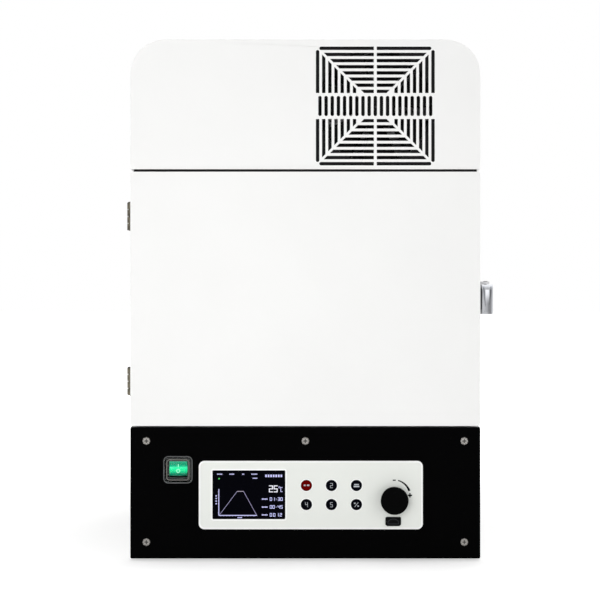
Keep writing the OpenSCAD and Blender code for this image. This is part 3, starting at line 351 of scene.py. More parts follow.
def fibre_board(name, color, other, rough):
    """Pressed ceramic fibre with a loose skin, paler and darker in clouds."""
    s = Surface(name, color, rough)
    s.grain(*FIBRE_FUZZ)
    s.grain(*FIBRE_LUMPS)
    s.vary_color(s.noise(*FIBRE_CLOUD), other, *FIBRE_CLOUD_SPAN)
    return s.material


SILICONE_WAVES = (160, 1, 0.05, 0.1 * MM)


def clear_silicone(name, color, rough, index):
    """A clear skin with soft waves, thin enough to bend light less than a solid would."""
    s = Surface(name, color, rough)
    s.set("Transmission Weight", 1.0)
    s.set("IOR", index)
    s.grain(*SILICONE_WAVES)
    return s.material


LAMP_ROUGH, LAMP_BASE, LAMP_FADE = 0.6, (0.02, 0.02, 0.02), 0.25
LAMP_DOTS = (900, 1)


def lamp(name, color, strength, base=LAMP_BASE):
    """A lit mark, or a printed one given a painted glow, that shines evenly, with a slight
    fall-off from dot to dot.
    """
    s = Surface(name, base, LAMP_ROUGH)
    s.set("Emission Strength", strength)
    dim = tuple(c * (1 - LAMP_FADE) for c in color)
    s.feed("Emission Color", s.ramp(s.noise(*LAMP_DOTS), [(0.0, dim), (1.0, color)]))
    return s.material


LENS_LEVEL = 0.08
LENS_GRAIN = (500, 2, 0.1, 0.05 * MM)


def lit_lens(name, color, rough, stops, strength):
    """A coloured lens lit from inside, with colours that change from its foot to its head."""
    s = Surface(name, color, rough)
    s.set("Specular IOR Level", LENS_LEVEL)
    s.set("Emission Strength", strength)
    s.feed("Emission Color", s.ramp(s.axis("Z"), stops, "EASE"))
    s.grain(*LENS_GRAIN)
    return s.material


BOARD_GRAIN = (700, 2, 0.2, 0.05 * MM)
TRACKS, TRACK_SPAN = (320, 4), (0.45, 0.55)


def circuit_board(name, color, other, rough):
    """Green lacquer over copper tracks."""
    s = Surface(name, color, rough)
    s.grain(*BOARD_GRAIN)
    s.vary_color(s.noise(*TRACKS), other, *TRACK_SPAN)
    return s.material


# The finishes: name, colour, roughness and what else their kind asks for
WHITE_PAINT = (0.9, 0.9, 0.89)

# The stretch of the hood's own box that its grille fills, from 0 to 1
GRILLE_SPANS = (("X", 0.52, 0.88), ("Z", 0.01, 0.98))
WHITE = powder_coat("white_coat", WHITE_PAINT, 0.42)
# The hood's coat, with painted shade on the walls of its grille's slots
HOOD = slot_shaded_coat("hood_coat", WHITE_PAINT, 0.42, GRILLE_SPANS)
GREY = powder_coat("grey_coat", (0.62, 0.63, 0.64), 0.45)
BLACK = powder_coat("black_coat", (0.001, 0.001, 0.0011), 0.5, level=0.008)
FILM = powder_coat("plate_film", (0.81, 0.83, 0.79), 0.38, 2400, 0.05)
# Pale rings printed on the control plate: painted highlights for light on embossed edges
PRINTED_RING_HIGHLIGHT = powder_coat("pale_rim", (0.93, 0.94, 0.93), 0.35, 2400, 0.04)
TRIM = moulded("black_trim", (0.01, 0.01, 0.01), 0.7, level=0.2)
FOOT = moulded("foot_rubber", (0.02, 0.02, 0.02), 0.8, level=0.3)
PLASTIC = moulded("black_plastic", (0.012, 0.012, 0.012), 0.5, level=0.3)
KNOB = moulded("knob_plastic", (0.0012, 0.0012, 0.0013), 0.4, level=0.015)
FLAP = moulded("flap_rubber", (0.003, 0.003, 0.0035), 0.6, level=0.05)
FAN = moulded("fan_plastic", (0.005, 0.005, 0.0055), 0.55, level=0.12)
WHITE_PLASTIC = moulded("white_plastic", (0.8, 0.8, 0.78), 0.45)
RED_CAP = moulded("red_cap", (0.112, 0.0004, 0.0006), 0.35, level=0.01)
DARK_CAP = moulded("dark_cap", (0.0012, 0.0014, 0.0034), 0.35, level=0.01)
GASKET = moulded("gasket_silicone", (0.1, 0.1, 0.1), 0.65)
STAINLESS = metal_sheet("stainless", (0.62, 0.62, 0.62), 0.28)
ZINC = metal_sheet("zinc_sheet", (0.58, 0.59, 0.6), 0.38, (1, 1, 1), 90)
# Panel screws whose recesses carry painted shade
PANEL_SCREW = screw_head("panel_screw_steel", (0.29, 0.278, 0.262), 0.36, (0.085, 0.083, 0.08))
PIN = metal_sheet("blackened_pin", (0.03, 0.027, 0.022), 0.42, (1, 1, 1), 900)
SCREW = metal_sheet("screw_steel", (0.2, 0.2, 0.195), 0.38, (1, 1, 1), 900)
HINGE = aged_metal("hinge_steel", (0.18, 0.162, 0.12), (0.085, 0.078, 0.062), 0.3)
LATCH_STEEL = metal_sheet("latch_steel", (0.6, 0.6, 0.61), 0.3, (1, 1, 12), 120)
# Latch chrome with painted reflections and a painted highlight
CHROME = lever_painted_reflections()
BRASS = metal_sheet("brass", (0.72, 0.5, 0.2), 0.3, (1, 1, 1), 300)
ALUMINIUM = metal_sheet("aluminium", (0.72, 0.72, 0.73), 0.35)
IRON = moulded("laminated_iron", (0.05, 0.035, 0.03), 0.55, 900, 0.5)
CERAMIC = moulded("white_ceramic", (0.82, 0.8, 0.76), 0.6, 900, 0.3)
CARBIDE = moulded("dark_carbide", (0.035, 0.035, 0.038), 0.7, 900, 0.5)
FIBRE = fibre_board("fibre_board", (0.84, 0.81, 0.74), (0.74, 0.69, 0.6), 0.95)
CLEAR = clear_silicone("clear_silicone", (0.84, 0.88, 0.87), 0.05, 1.12)
BOARD = circuit_board("circuit_board", (0.01, 0.13, 0.045), (0.02, 0.2, 0.07), 0.35)
SCREEN = moulded("screen_black", (0.0012, 0.0012, 0.0026), 0.25, 900, 0.01, level=0.006)
INK = moulded("dark_ink", (0.004, 0.004, 0.005), 0.5, level=0.03)

# The rocker's glow from its foot to its head, from the lamp inside, with a painted highlight as
# the pale last stop at its head: (place, colour)
ROCKER_GLOW_AND_HIGHLIGHT = [
    (0.0, (0.0, 0.03, 0.01)), (0.14, (0.0, 0.06, 0.02)), (0.22, (0.0, 0.5, 0.17)),
    (0.42, (0.002, 0.92, 0.34)), (0.58, (0.04, 1.0, 0.5)), (0.68, (0.0, 0.45, 0.19)),
    (0.8, (0.0, 0.21, 0.085)), (0.93, (0.0, 0.24, 0.1)), (1.0, (0.1, 0.6, 0.4)),
]
LIT_GREEN = lit_lens("lit_green", (0.0, 0.16, 0.09), 0.25, ROCKER_GLOW_AND_HIGHLIGHT, 0.85)
ROCKER_INK = lamp("rocker_print", (0.35, 0.95, 0.7), 0.8, (0.3, 0.6, 0.45))
# The pale line on the port's flap: a painted highlight
FLAP_HIGHLIGHT = moulded("flap_highlight_line", (0.035, 0.037, 0.042), 0.6, level=0.1)
# Pale rings on the switch cover: painted highlights of its ridges
BOOT_RIDGE_HIGHLIGHT = moulded("boot_highlight_ridge", (0.085, 0.088, 0.09), 0.4, level=0.2)
BOOT_CREST_HIGHLIGHT = moulded("boot_crest", (0.14, 0.135, 0.12), 0.4, level=0.2)
SCREEN_INK = lamp("screen_lines", (0.57, 0.57, 0.95), 1.15)
SCREEN_BRIGHT = lamp("screen_digits", (0.9, 0.9, 1.0), 1.1)
SCREEN_TEXT = lamp("screen_readings", (0.58, 0.6, 1.0), 1.4)
SCREEN_FAINT = lamp("screen_curve", (0.31, 0.29, 0.5), 1.0)
SCREEN_RED = lamp("screen_peak", (0.5, 0.42, 0.55), 1.0)
SCREEN_GREEN = lamp("screen_green", (0.05, 0.75, 0.1), 1.0)
# The key caps' print, with a faint painted glow though no lamp lights it
CAP_INK_PAINTED_GLOW = lamp("cap_print", (0.8, 0.82, 0.86), 0.1, (0.4, 0.42, 0.46))

NODE_MATERIALS = {
    "outer_wrap": WHITE, "hood_front": HOOD, "rear_panel": WHITE, "door_shell": WHITE,
    "front_frame": GREY, "base_pan": ZINC, "air_duct": ZINC, "power_supply": ZINC,
    "front_panel": BLACK, "hood_trim": TRIM, "feet": FOOT, "usb_flap": FLAP,
    "casing_screws": SCREW, "panel_screws": PANEL_SCREW, "hinge_pins": PIN, "latch_pin": SCREW,
    "fan_shaft": SCREW, "encoder_shaft": SCREW, "control_plate": FILM,
    "display_window": SCREEN, "display_module": PLASTIC, "control_board": BOARD,
    "board_spacers": BRASS, "encoder": ZINC, "usb_socket": ZINC, "switch_housing": PLASTIC,
    "fan_frame": FAN, "fan_impeller": FAN, "mains_inlet": PLASTIC, "interlock_switch": PLASTIC,
    "knob": KNOB, "switch_boot": CLEAR, "power_rocker": LIT_GREEN, "key_1": RED_CAP,
    "key_2": DARK_CAP, "key_3": DARK_CAP, "key_4": DARK_CAP, "key_5": DARK_CAP,
    "key_6": DARK_CAP, "hinge_frame_leaves": HINGE, "hinge_door_leaves": HINGE,
    "latch_lever": CHROME, "latch_base": LATCH_STEEL, "latch_keeper": LATCH_STEEL,
    "cavity": STAINLESS, "door_inner_panel": STAINLESS, "exhaust_duct": STAINLESS,
    "waveguide": STAINLESS, "insulation_block": FIBRE, "door_insulation": FIBRE,
    "door_plug": FIBRE, "hearth_plate": CERAMIC, "thermocouple": CERAMIC,
    "susceptor_plates": CARBIDE, "door_gasket": GASKET, "magnetron": ALUMINIUM,
    "hv_capacitor": ALUMINIUM, "hv_transformer": IRON, "interlock_tongue": WHITE_PLASTIC,
}

# Edge rounding in millimetres, on the pieces whose edges catch the light
EDGE_ROUNDS = {
    "door_shell": 0.6, "hood_front": 0.12, "front_panel": 0.3,
    "control_plate": 0.3, "latch_lever": 0.5, "latch_base": 0.3,
    "latch_keeper": 0.2, "front_frame": 0.3, "door_inner_panel": 0.6, "switch_boot": 0.8,
    "hinge_frame_leaves": 0.2, "hinge_door_leaves": 0.2, "usb_flap": 0.2, "power_rocker": 0.4,
    "door_plug": 1.0, "insulation_block": 1.0, "hearth_plate": 0.8, "switch_housing": 0.4,
    "mains_inlet": 0.4, "cavity": 0.3, "magnetron": 0.2, "fan_frame": 0.4,
}
ROUND_ANGLE = math.radians(40)
ROUND_SEGMENTS = 3
SHARP_ANGLE = math.radians(32)
WELD_REACH = 0.001 * MM
NORMALS_WEIGHT = 100


def dress_node(name, obj):
    """Gives a CAD node its material, smooth shading and rounded edges."""
    obj.data.materials.clear()
    obj.data.materials.append(NODE_MATERIALS[name])
    weld = obj.modifiers.new("weld", "WELD")
    weld.merge_threshold = WELD_REACH
    if name in EDGE_ROUNDS:
        bevel = obj.modifiers.new("edges", "BEVEL")
        bevel.width = EDGE_ROUNDS[name] * MM
        bevel.segments = ROUND_SEGMENTS
        bevel.limit_method = "ANGLE"
        bevel.angle_limit = ROUND_ANGLE
        bevel.use_clamp_overlap = True
        bevel.face_strength_mode = "FSTR_ALL"
    for polygon in obj.data.polygons:
        polygon.use_smooth = True
    obj.data.set_sharp_from_angle(angle=SHARP_ANGLE)
    normals = obj.modifiers.new("normals", "WEIGHTED_NORMAL")
    normals.weight = NORMALS_WEIGHT
    normals.keep_sharp = True
    normals.use_face_influence = True


for node_name, node_object in nodes.items():
    dress_node(node_name, node_object)


# Small pieces made here


def add_mesh(name, build, material, body="cabinet"):
    """A new piece whose mesh the function build fills."""
    mesh = bpy.data.meshes.new(name)
    made = bmesh.new()
    build(made)
    bmesh.ops.recalc_face_normals(made, faces=made.faces)
    made.to_mesh(mesh)
    made.free()
    obj = bpy.data.objects.new(name, mesh)
    scene.collection.objects.link(obj)
    mesh.materials.append(material)
    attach(obj, body)
    return obj


def prism(made, outline, y_front, y_back):
    """A flat outline in x and z, given in order, made solid from y_front to y_back."""
    front = [made.verts.new((x, y_front, z)) for x, z in outline]
    back = [made.verts.new((x, y_back, z)) for x, z in outline]
    made.faces.new(front)
    made.faces.new(list(reversed(back)))
    count = len(outline)
    for i in range(count):
        j = (i + 1) % count
        made.faces.new((front[j], front[i], back[i], back[j]))


def ring(made, outer, inner, y_front, y_back):
    """The flat band between two outlines with the same number of points, made solid."""
    count = len(outer)
    rows = [
        [made.verts.new((x, y, z)) for x, z in line]
        for line, y in ((outer, y_front), (inner, y_front), (inner, y_back), (outer, y_back))
    ]
    for r in range(4):
        a, b = rows[r], rows[(r + 1) % 4]
        for i in range(count):
            j = (i + 1) % count
            made.faces.new((a[i], a[j], b[j], b[i]))


def rounded_outline(x0, x1, z0, z1, radius, steps=8):
    """Corner points of a rounded rectangle, in order."""
    points = []
    for cx, cz, start in (
        (x1 - radius, z1 - radius, 0), (x0 + radius, z1 - radius, 90),
        (x0 + radius, z0 + radius, 180), (x1 - radius, z0 + radius, 270),
    ):
        for i in range(steps + 1):
            a = math.radians(start + 90 * i / steps)
            points.append((cx + radius * math.cos(a), cz + radius * math.sin(a)))
    return points


def circle_outline(x, z, radius, steps=48):
    turns = [2 * math.pi * i / steps for i in range(steps)]
    return [(x + radius * math.cos(a), z + radius * math.sin(a)) for a in turns]


def bar_outline(x0, z0, x1, z1, width):
    """A straight stroke with square ends between two points."""
    along = Vector((x1 - x0, z1 - z0)).normalized()
    side = Vector((-along.y, along.x)) * width / 2
    return [
        (x0 + side.x, z0 + side.y), (x1 + side.x, z1 + side.y),
        (x1 - side.x, z1 - side.y), (x0 - side.x, z0 - side.y),
    ]


def band(name, low, high, radius, width, thickness, y, material):
    """A rounded frame of the given width just inside a rectangle, printed on the plane y."""
    outer = rounded_outline(low.x, high.x, low.z, high.z, radius)
    inner = rounded_outline(low.x + width, high.x - width, low.z + width, high.z - width,
                            radius - width)
    return add_mesh(name, lambda m: ring(m, outer, inner, y - thickness, y), material)


# Control plate: pale rim, ring round the display and rings round the keys, which are painted
# highlights standing in for light on embossed edges; then the dial scale
PRINT = 0.05 * MM
RIM_RADIUS, RIM_WIDTH = 5.5 * MM, 1.7 * MM
FRAME_RADIUS, FRAME_WIDTH = 2.4 * MM, 1.6 * MM
FRAME_REACH = Vector((1.7 * MM, 0, 1.7 * MM))
band("plate_rim", plate_low, plate_high, RIM_RADIUS, RIM_WIDTH, PRINT, PLATE_Y, PRINTED_RING_HIGHLIGHT)
band("display_ring", window_low - FRAME_REACH, window_high + FRAME_REACH, FRAME_RADIUS,
     FRAME_WIDTH, PRINT, PLATE_Y, PRINTED_RING_HIGHLIGHT)

KEYS = ["key_1", "key_2", "key_3", "key_4", "key_5", "key_6"]
key_centres = {}
for key in KEYS:
    low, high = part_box(key)
    key_centres[key] = ((low.x + high.x) / 2, (low.z + high.z) / 2, low.y)

# Pale rings round the keys: painted highlights on their edges
KEY_RING_OUTER = 6.6 * MM
KEY_RING_INNER = 5.7 * MM


def key_rings(made):
    for x, z, _ in key_centres.values():
        ring(made, circle_outline(x, z, KEY_RING_OUTER), circle_outline(x, z, KEY_RING_INNER),
             PLATE_Y - PRINT, PLATE_Y)


add_mesh("key_rings", key_rings, PRINTED_RING_HIGHLIGHT)

# Dial scale: an arc that grows from minus to plus, with angles clockwise from the top
SCALE_X = (knob_low.x + knob_high.x) / 2 - 0.5 * MM
SCALE_Z = (knob_low.z + knob_high.z) / 2 + 2.5 * MM
ARC_R, ARC_WIDTH = 17.0 * MM, 2.3 * MM
ARC_FROM, ARC_TO, ARC_STEPS = 16, 70, 18
ARC_TAPER = 0.45
MARK_R = 16.6 * MM
MINUS_AT, MINUS_HALF, MINUS_STROKE = 3, 1.5 * MM, 1.2 * MM
PLUS_AT, PLUS_HALF, PLUS_STROKE = 85, 2.1 * MM, 1.4 * MM


def clock_point(angle, radius):
    """A point on the scale's circle, by its angle clockwise from the top."""
    a = math.radians(angle)
    return SCALE_X + radius * math.sin(a), SCALE_Z + radius * math.cos(a)


def dial_print(made, outline):
    prism(made, outline, PLATE_Y - PRINT, PLATE_Y)


def dial_scale(made):
    outer, inner = [], []
    for i in range(ARC_STEPS + 1):
        t = i / ARC_STEPS
        angle = ARC_FROM + (ARC_TO - ARC_FROM) * t
        half = ARC_WIDTH * (ARC_TAPER + (1 - ARC_TAPER) * t) / 2
        outer.append(clock_point(angle, ARC_R + half))
        inner.append(clock_point(angle, ARC_R - half))
    dial_print(made, outer + list(reversed(inner)))
    x, z = clock_point(MINUS_AT, MARK_R)
    dial_print(made, bar_outline(x - MINUS_HALF, z, x + MINUS_HALF, z, MINUS_STROKE))
    x, z = clock_point(PLUS_AT, MARK_R)
    dial_print(made, bar_outline(x - PLUS_HALF, z, x + PLUS_HALF, z, PLUS_STROKE))
    for way in (1, -1):
        start, end = sorted((z + way * PLUS_STROKE / 2, z + way * PLUS_HALF))
        dial_print(made, bar_outline(x, start, x, end, PLUS_STROKE))


add_mesh("dial_scale", dial_scale, INK)

# Display: a firing curve on two axes, a status row and four readings. Its places and widths
# are millimetres right of and below the window's upper left corner.
SCREEN_Y = window_low.y
SCREEN_PRINT = 0.04 * MM


def screen_point(u, v):
    return window_low.x + u * MM, window_high.z - v * MM


def stroke(made, u0, v0, u1, v1, width):
    """A printed line between two places on the screen."""
    x0, z0 = screen_point(u0, v0)
    x1, z1 = screen_point(u1, v1)
    prism(made, bar_outline(x0, z0, x1, z1, width * MM), SCREEN_Y - SCREEN_PRINT, SCREEN_Y)


# Strokes of the digits 0 to 9 on a box one wide and two high, from its upper left corner
SEGMENTS = {
    "a": (0, 0, 1, 0), "b": (1, 0, 1, 1), "c": (1, 1, 1, 2), "d": (0, 2, 1, 2),
    "e": (0, 1, 0, 2), "f": (0, 0, 0, 1), "g": (0, 1, 1, 1),
}
DIGITS = {
    "0": "abcdef", "1": "bc", "2": "abged", "3": "abgcd", "4": "fgbc", "5": "afgcd",
    "6": "afgedc", "7": "abc", "8": "abcdefg", "9": "abcdfg",
}
COLON_PLACE, COLON_SHARES = 0.3, (0.3, 0.72)      # shares of a figure's width and height


def number(made, text, u, v, width, height, pitch, thick):
    """Figures from the point u, v on, with dots for a colon."""
    for i, letter in enumerate(text):
        left = u + i * pitch
        if letter == ":":
            dot = left + width * COLON_PLACE
            for share in COLON_SHARES:
                stroke(made, dot, v + height * share, dot + thick, v + height * share, thick)
            continue
        for name in DIGITS[letter]:
            x0, y0, x1, y1 = SEGMENTS[name]
            grow = thick / 2
            du, dv = (grow, 0) if y0 == y1 else (0, grow)
            stroke(made, left + x0 * width - du, v + y0 * height / 2 - dv,
                   left + x1 * width + du, v + y1 * height / 2 + dv, thick)


AXIS_U, AXIS_TOP, AXIS_V, AXIS_END = 6.3, 18.6, 44.9, 44.4
AXIS_STROKE, CURVE_STROKE, PEAK_STROKE = 0.8, 0.5, 0.55
TICK_PITCH, TICK_LENGTH, TICK_STROKE = 3, 0.9, 0.35
TICKS_ACROSS, TICKS_UP = 12, 8
FIRST_ACROSS, FIRST_UP = 2, 2.5
CURVE = [(7.0, 44.3), (24.6, 20.9), (31.0, 20.9), (43.9, 44.3)]

# Captions as rows of short bars: left end, height on the screen and length
CAPTIONS = (
    (4.6, 3.7, 5.4), (16.9, 3.7, 5.0), (29.6, 3.7, 2.4), (38.8, 3.7, 6.2),
    (40.2, 7.8, 4.8), (25.0, 47.2, 4.8),
)
CAPTION_PITCH, CAPTION_GAP, CAPTION_STROKE = 1.3, 0.35, 1.1
SIDE_U, SIDE_V, SIDE_PITCH, SIDE_LENGTH, SIDE_STROKE = 3.0, 25.4, 2.6, 1.3, 1.2
ROW_U, ROW_PITCH, ROW_LENGTH, ROW_STROKE = 49.3, 1.5, 1.1, 1.3
ROW_HEIGHTS = (28.6, 36.6, 44.4)
SIDE_BARS, ROW_BARS = 4, 4
STATUS_U, STATUS_V, STATUS_PITCH, STATUS_LENGTH, STATUS_STROKE = 52.6, 5.4, 2.55, 1.7, 2.5
STATUS_BLOCKS = 7

# Temperature: text, left end, upper edge, and the figures' width, height, pitch and stroke
TEMPERATURE = ("25", 56.8, 15.4, 3.1, 6.0, 4.7, 0.9)

# Readings: text, upper edge and pitch of the figures
READINGS = (("01:30", 27.2, 2.65), ("00:45", 35.0, 2.65), ("0012", 42.9, 3.3))
READING_U, READING_WIDTH, READING_HEIGHT, READING_STROKE = 57.5, 1.7, 2.9, 0.45
DEGREE_POINT, DEGREE_OUTER, DEGREE_INNER = (66.8, 16.8), 0.95 * MM, 0.5 * MM
UNIT_STROKES = ((68.0, 17.0, 70.0, 17.0), (68.2, 17.0, 68.2, 21.2), (68.0, 21.2, 70.0, 21.2))
UNIT_WIDTH = 0.6
LAMP_POINT, LAMP_RADIUS = (6.5, 8.2), 0.75 * MM
DOT_STEPS = 20


def screen_axes(made):
    stroke(made, AXIS_U, AXIS_TOP, AXIS_U, AXIS_V, AXIS_STROKE)
    stroke(made, AXIS_U, AXIS_V, AXIS_END, AXIS_V, AXIS_STROKE)
    for i in range(TICKS_ACROSS):
        u = AXIS_U + TICK_PITCH * i + FIRST_ACROSS
        stroke(made, u, AXIS_V, u, AXIS_V + TICK_LENGTH, TICK_STROKE)
    for i in range(TICKS_UP):
        v = AXIS_V - TICK_PITCH * i - FIRST_UP
        stroke(made, AXIS_U - TICK_LENGTH, v, AXIS_U, v, TICK_STROKE)


def screen_curve(made):
    stroke(made, *CURVE[0], *CURVE[1], CURVE_STROKE)
    stroke(made, *CURVE[2], *CURVE[3], CURVE_STROKE)


def screen_peak(made):
    stroke(made, *CURVE[1], *CURVE[2], PEAK_STROKE)


def screen_labels(made):
    """Short bars where a screen has small captions."""
    for u, v, width in CAPTIONS:
        parts = max(2, round(width / CAPTION_PITCH))
        for i in range(parts):
            left = u + i * width / parts
            stroke(made, left, v, left + width / parts - CAPTION_GAP, v, CAPTION_STROKE)
    for i in range(SIDE_BARS):
        v = SIDE_V + i * SIDE_PITCH
        stroke(made, SIDE_U, v, SIDE_U + SIDE_LENGTH, v, SIDE_STROKE)
    for v in ROW_HEIGHTS:
        for i in range(ROW_BARS):
            left = ROW_U + i * ROW_PITCH
            stroke(made, left, v, left + ROW_LENGTH, v, ROW_STROKE)


def screen_status(made):
    """A row of blocks that fills as the programme runs."""
    for i in range(STATUS_BLOCKS):
        left = STATUS_U + i * STATUS_PITCH
        stroke(made, left, STATUS_V, left + STATUS_LENGTH, STATUS_V, STATUS_STROKE)


def screen_digits(made):
    number(made, *TEMPERATURE)


def screen_readings(made):
    for text, v, pitch in READINGS:
        number(made, text, READING_U, v, READING_WIDTH, READING_HEIGHT, pitch, READING_STROKE)


def screen_degree(made):
    x, z = screen_point(*DEGREE_POINT)
    ring(made, circle_outline(x, z, DEGREE_OUTER, DOT_STEPS),
         circle_outline(x, z, DEGREE_INNER, DOT_STEPS), SCREEN_Y - SCREEN_PRINT, SCREEN_Y)
    for ends in UNIT_STROKES:
        stroke(made, *ends, UNIT_WIDTH)


def screen_lamp(made):
    x, z = screen_point(*LAMP_POINT)
    prism(made, circle_outline(x, z, LAMP_RADIUS, DOT_STEPS), SCREEN_Y - SCREEN_PRINT, SCREEN_Y)


for screen_name, screen_build, screen_material in (
    ("screen_axes", screen_axes, SCREEN_INK), ("screen_curve", screen_curve, SCREEN_FAINT),
    ("screen_peak", screen_peak, SCREEN_RED), ("screen_labels", screen_labels, SCREEN_INK),
    ("screen_status", screen_status, SCREEN_INK), ("screen_digits", screen_digits, SCREEN_BRIGHT),
    ("screen_readings", screen_readings, SCREEN_TEXT),
    ("screen_degree", screen_degree, SCREEN_INK), ("screen_lamp", screen_lamp, SCREEN_GREEN),
):
    add_mesh(screen_name, screen_build, screen_material)

# Plain marks on the key caps, each riding on its own key, in millimetres from its centre
CAP_PRINT = 0.04 * MM
FIGURE_WIDTH, FIGURE_HEIGHT, FIGURE_STROKE = 2.2, 4.4, 0.45


def frame_body(node):
    """The body that a CAD node belongs to."""
    for body, members in frame["record"]["behaviour"]["bodies"].items():
        if node in members:
            return body


def figure_strokes(figure):
    """A figure centred on its key, as strokes."""
    strokes = []
    for name in DIGITS[figure]:
        x0, y0, x1, y1 = SEGMENTS[name]
        du, dz = (FIGURE_STROKE / 2, 0) if y0 == y1 else (0, FIGURE_STROKE / 2)
        strokes.append(((x0 - 0.5) * FIGURE_WIDTH - du, (1 - y0) * FIGURE_HEIGHT / 2 + dz,
                        (x1 - 0.5) * FIGURE_WIDTH + du, (1 - y1) * FIGURE_HEIGHT / 2 - dz,
                        FIGURE_STROKE))
    return strokes


def cap_mark(key, strokes):
    """Strokes on a key's cap: two ends and a width each."""
    x, z, y = key_centres[key]

    def build(made):
        for x0, z0, x1, z1, width in strokes:
            outline = bar_outline(x + x0 * MM, z + z0 * MM, x + x1 * MM, z + z1 * MM, width * MM)
            prism(made, outline, y - CAP_PRINT, y)

    # The marks' print carries a faint painted glow
    return add_mesh("mark_" + key, build, CAP_INK_PAINTED_GLOW, frame_body(key))


cap_mark("key_1", [(-2.6, 0.3, -0.9, 0.3, 1.5), (0.5, 0.3, 2.9, 0.3, 1.5)])
cap_mark("key_2", figure_strokes("2"))
cap_mark("key_3", [(-2.4, 1.0, 2.4, 1.0, 1.1), (-2.8, -0.9, 2.8, -0.9, 1.4)])
cap_mark("key_4", figure_strokes("4"))
cap_mark("key_5", figure_strokes("5"))
cap_mark("key_6", [(-1.8, -2.2, 1.8, 2.2, 0.5), (-2.4, 1.4, -1.0, 1.4, 1.3),
                   (1.0, -1.4, 2.4, -1.4, 1.3)])

# Marks on the rocker: a line on the upper face for on, a ring on the lower face for off
rocker_low, rocker_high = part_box("power_rocker")
rocker_joint = next(
    j for j in frame["record"]["behaviour"]["joints"] if j["name"] == "power_rocker_tilt")
ROCKER_PIVOT = Vector(rocker_joint["pos_m"])
ROCKER_TILT = math.radians(10)
ROCKER_FRONT, ROCKER_DIP, ROCKER_HALF = 4.6 * MM, 1.1 * MM, 7.0 * MM
ON_LINE = bar_outline(0, -1.7 * MM, 0, 1.0 * MM, 0.6 * MM)
OFF_RING = [circle_outline(0, 1.3 * MM, radius, 32) for radius in (1.9 * MM, 1.35 * MM)]


def rocker_point(y, z):
    """A point of the rocker's side view, from its pivot, as the pressed rocker lies."""
    c, t = math.cos(ROCKER_TILT), math.sin(ROCKER_TILT)
    return Vector(((rocker_low.x + rocker_high.x) / 2,
                   ROCKER_PIVOT.y + y * c + z * t, ROCKER_PIVOT.z - y * t + z * c))


def rocker_face(end):
    """Middle, across, up and outward directions of the upper (1) or lower (-1) face."""
    waist = rocker_point(ROCKER_DIP - ROCKER_FRONT, 0)
    tip = rocker_point(-ROCKER_FRONT, end * ROCKER_HALF)
    up = (tip - waist).normalized() * end
    across = Vector((1, 0, 0))
    return (waist + tip) / 2, across, up, across.cross(up).normalized()


def slanted(made, face, outlines, thickness):
    """The band between one or two outlines laid on a slanted face."""
    middle, across, up, out = face
    places = [[middle + across * u + up * v for u, v in line] for line in outlines]
    if len(places) == 1:
        front = [made.verts.new(p + out * thickness) for p in places[0]]
        back = [made.verts.new(p) for p in places[0]]
        made.faces.new(front)
        made.faces.new(list(reversed(back)))
        rows = [front, back]
    else:
        rows = [[made.verts.new(p + out * lift) for p in places[k]]
                for k, lift in ((0, thickness), (1, thickness), (1, 0), (0, 0))]
    count = len(rows[0])
    for a, b in zip(rows, rows[1:] + ([rows[0]] if len(rows) == 4 else [])):
        for i in range(count):
            j = (i + 1) % count
            made.faces.new((a[i], b[i], b[j], a[j]))


def rocker_marks(made):
    slanted(made, rocker_face(1), [ON_LINE], PRINT)
    slanted(made, rocker_face(-1), OFF_RING, PRINT)


add_mesh("rocker_marks", rocker_marks, ROCKER_INK, "rocker")

# Pale rings on the switch cover, painted highlights that stand in for the light its moulded
# ridges catch round the rocker
boot_low, boot_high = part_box("switch_boot")


def boot_highlight_ridge(name, material, inset, width, radius, lift):
    """A rounded ring just inside the cover's outline, which it is lifted behind: a painted
    highlight.
    """
    low = boot_low + Vector((inset, 0, inset))
    high = boot_high - Vector((inset, 0, inset))
    return band(name, low, high, radius - inset, width, PRINT, boot_low.y + lift, material)


boot_highlight_ridge("boot_highlight_outer", BOOT_RIDGE_HIGHLIGHT, 0.1 * MM, 1.0 * MM, 5 * MM, 1.0 * MM)
boot_highlight_ridge("boot_highlight_inner", BOOT_CREST_HIGHLIGHT, 3.2 * MM, 0.8 * MM, 6.5 * MM, 0)

# A pale arched line on the port's flap: a painted highlight along the crest of its arched rib
flap_low, flap_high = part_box("usb_flap")
port_low, port_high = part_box("usb_socket")
ARCH_ROUND = 0.62      # the head's radius as a share of the arch's width
ARCH_WIDTH, ARCH_HEIGHT, ARCH_LINE = 11.0 * MM, 5.5 * MM, 0.5 * MM


def arch_outline(inset, steps=16):
    """An upright outline with a level foot and an arched head, inset from the rib's."""
    x = (flap_low.x + flap_high.x) / 2
    z = (port_low.z + port_high.z) / 2
    w, h = ARCH_WIDTH - 2 * inset, ARCH_HEIGHT - 2 * inset
    r = w * ARCH_ROUND
    reach = math.asin(w / 2 / r)
    points = [(x - w / 2, z - h / 2), (x + w / 2, z - h / 2)]
    for i in range(steps + 1):
        a = reach - 2 * reach * i / steps
        points.append((x + r * math.sin(a), z + h / 2 - r + r * math.cos(a)))
    return points


def flap_highlight_line(made):
    ring(made, arch_outline(0), arch_outline(ARCH_LINE), flap_low.y - PRINT, flap_low.y)


add_mesh("flap_highlight_line", flap_highlight_line, FLAP_HIGHLIGHT, "port_flap")


# Floor, light and camera
WHITE_LIGHT = (1, 1, 1, 1)
FLOOR_HALF = 30
FLOOR_COLOR = (0.8, 0.8, 0.8, 1)

# The floor's own glow grows from near to far, in metres from the furnace's middle. Its weak glow
# near the furnace paints a shadow round it, on top of the real one
GLOW_NEAR, GLOW_FAR = 0.2, 0.75
GLOW_IN_PAINTED_SHADOW, GLOW_FULL = 0.34, 1.0
SOFT_STRENGTH = 0.38

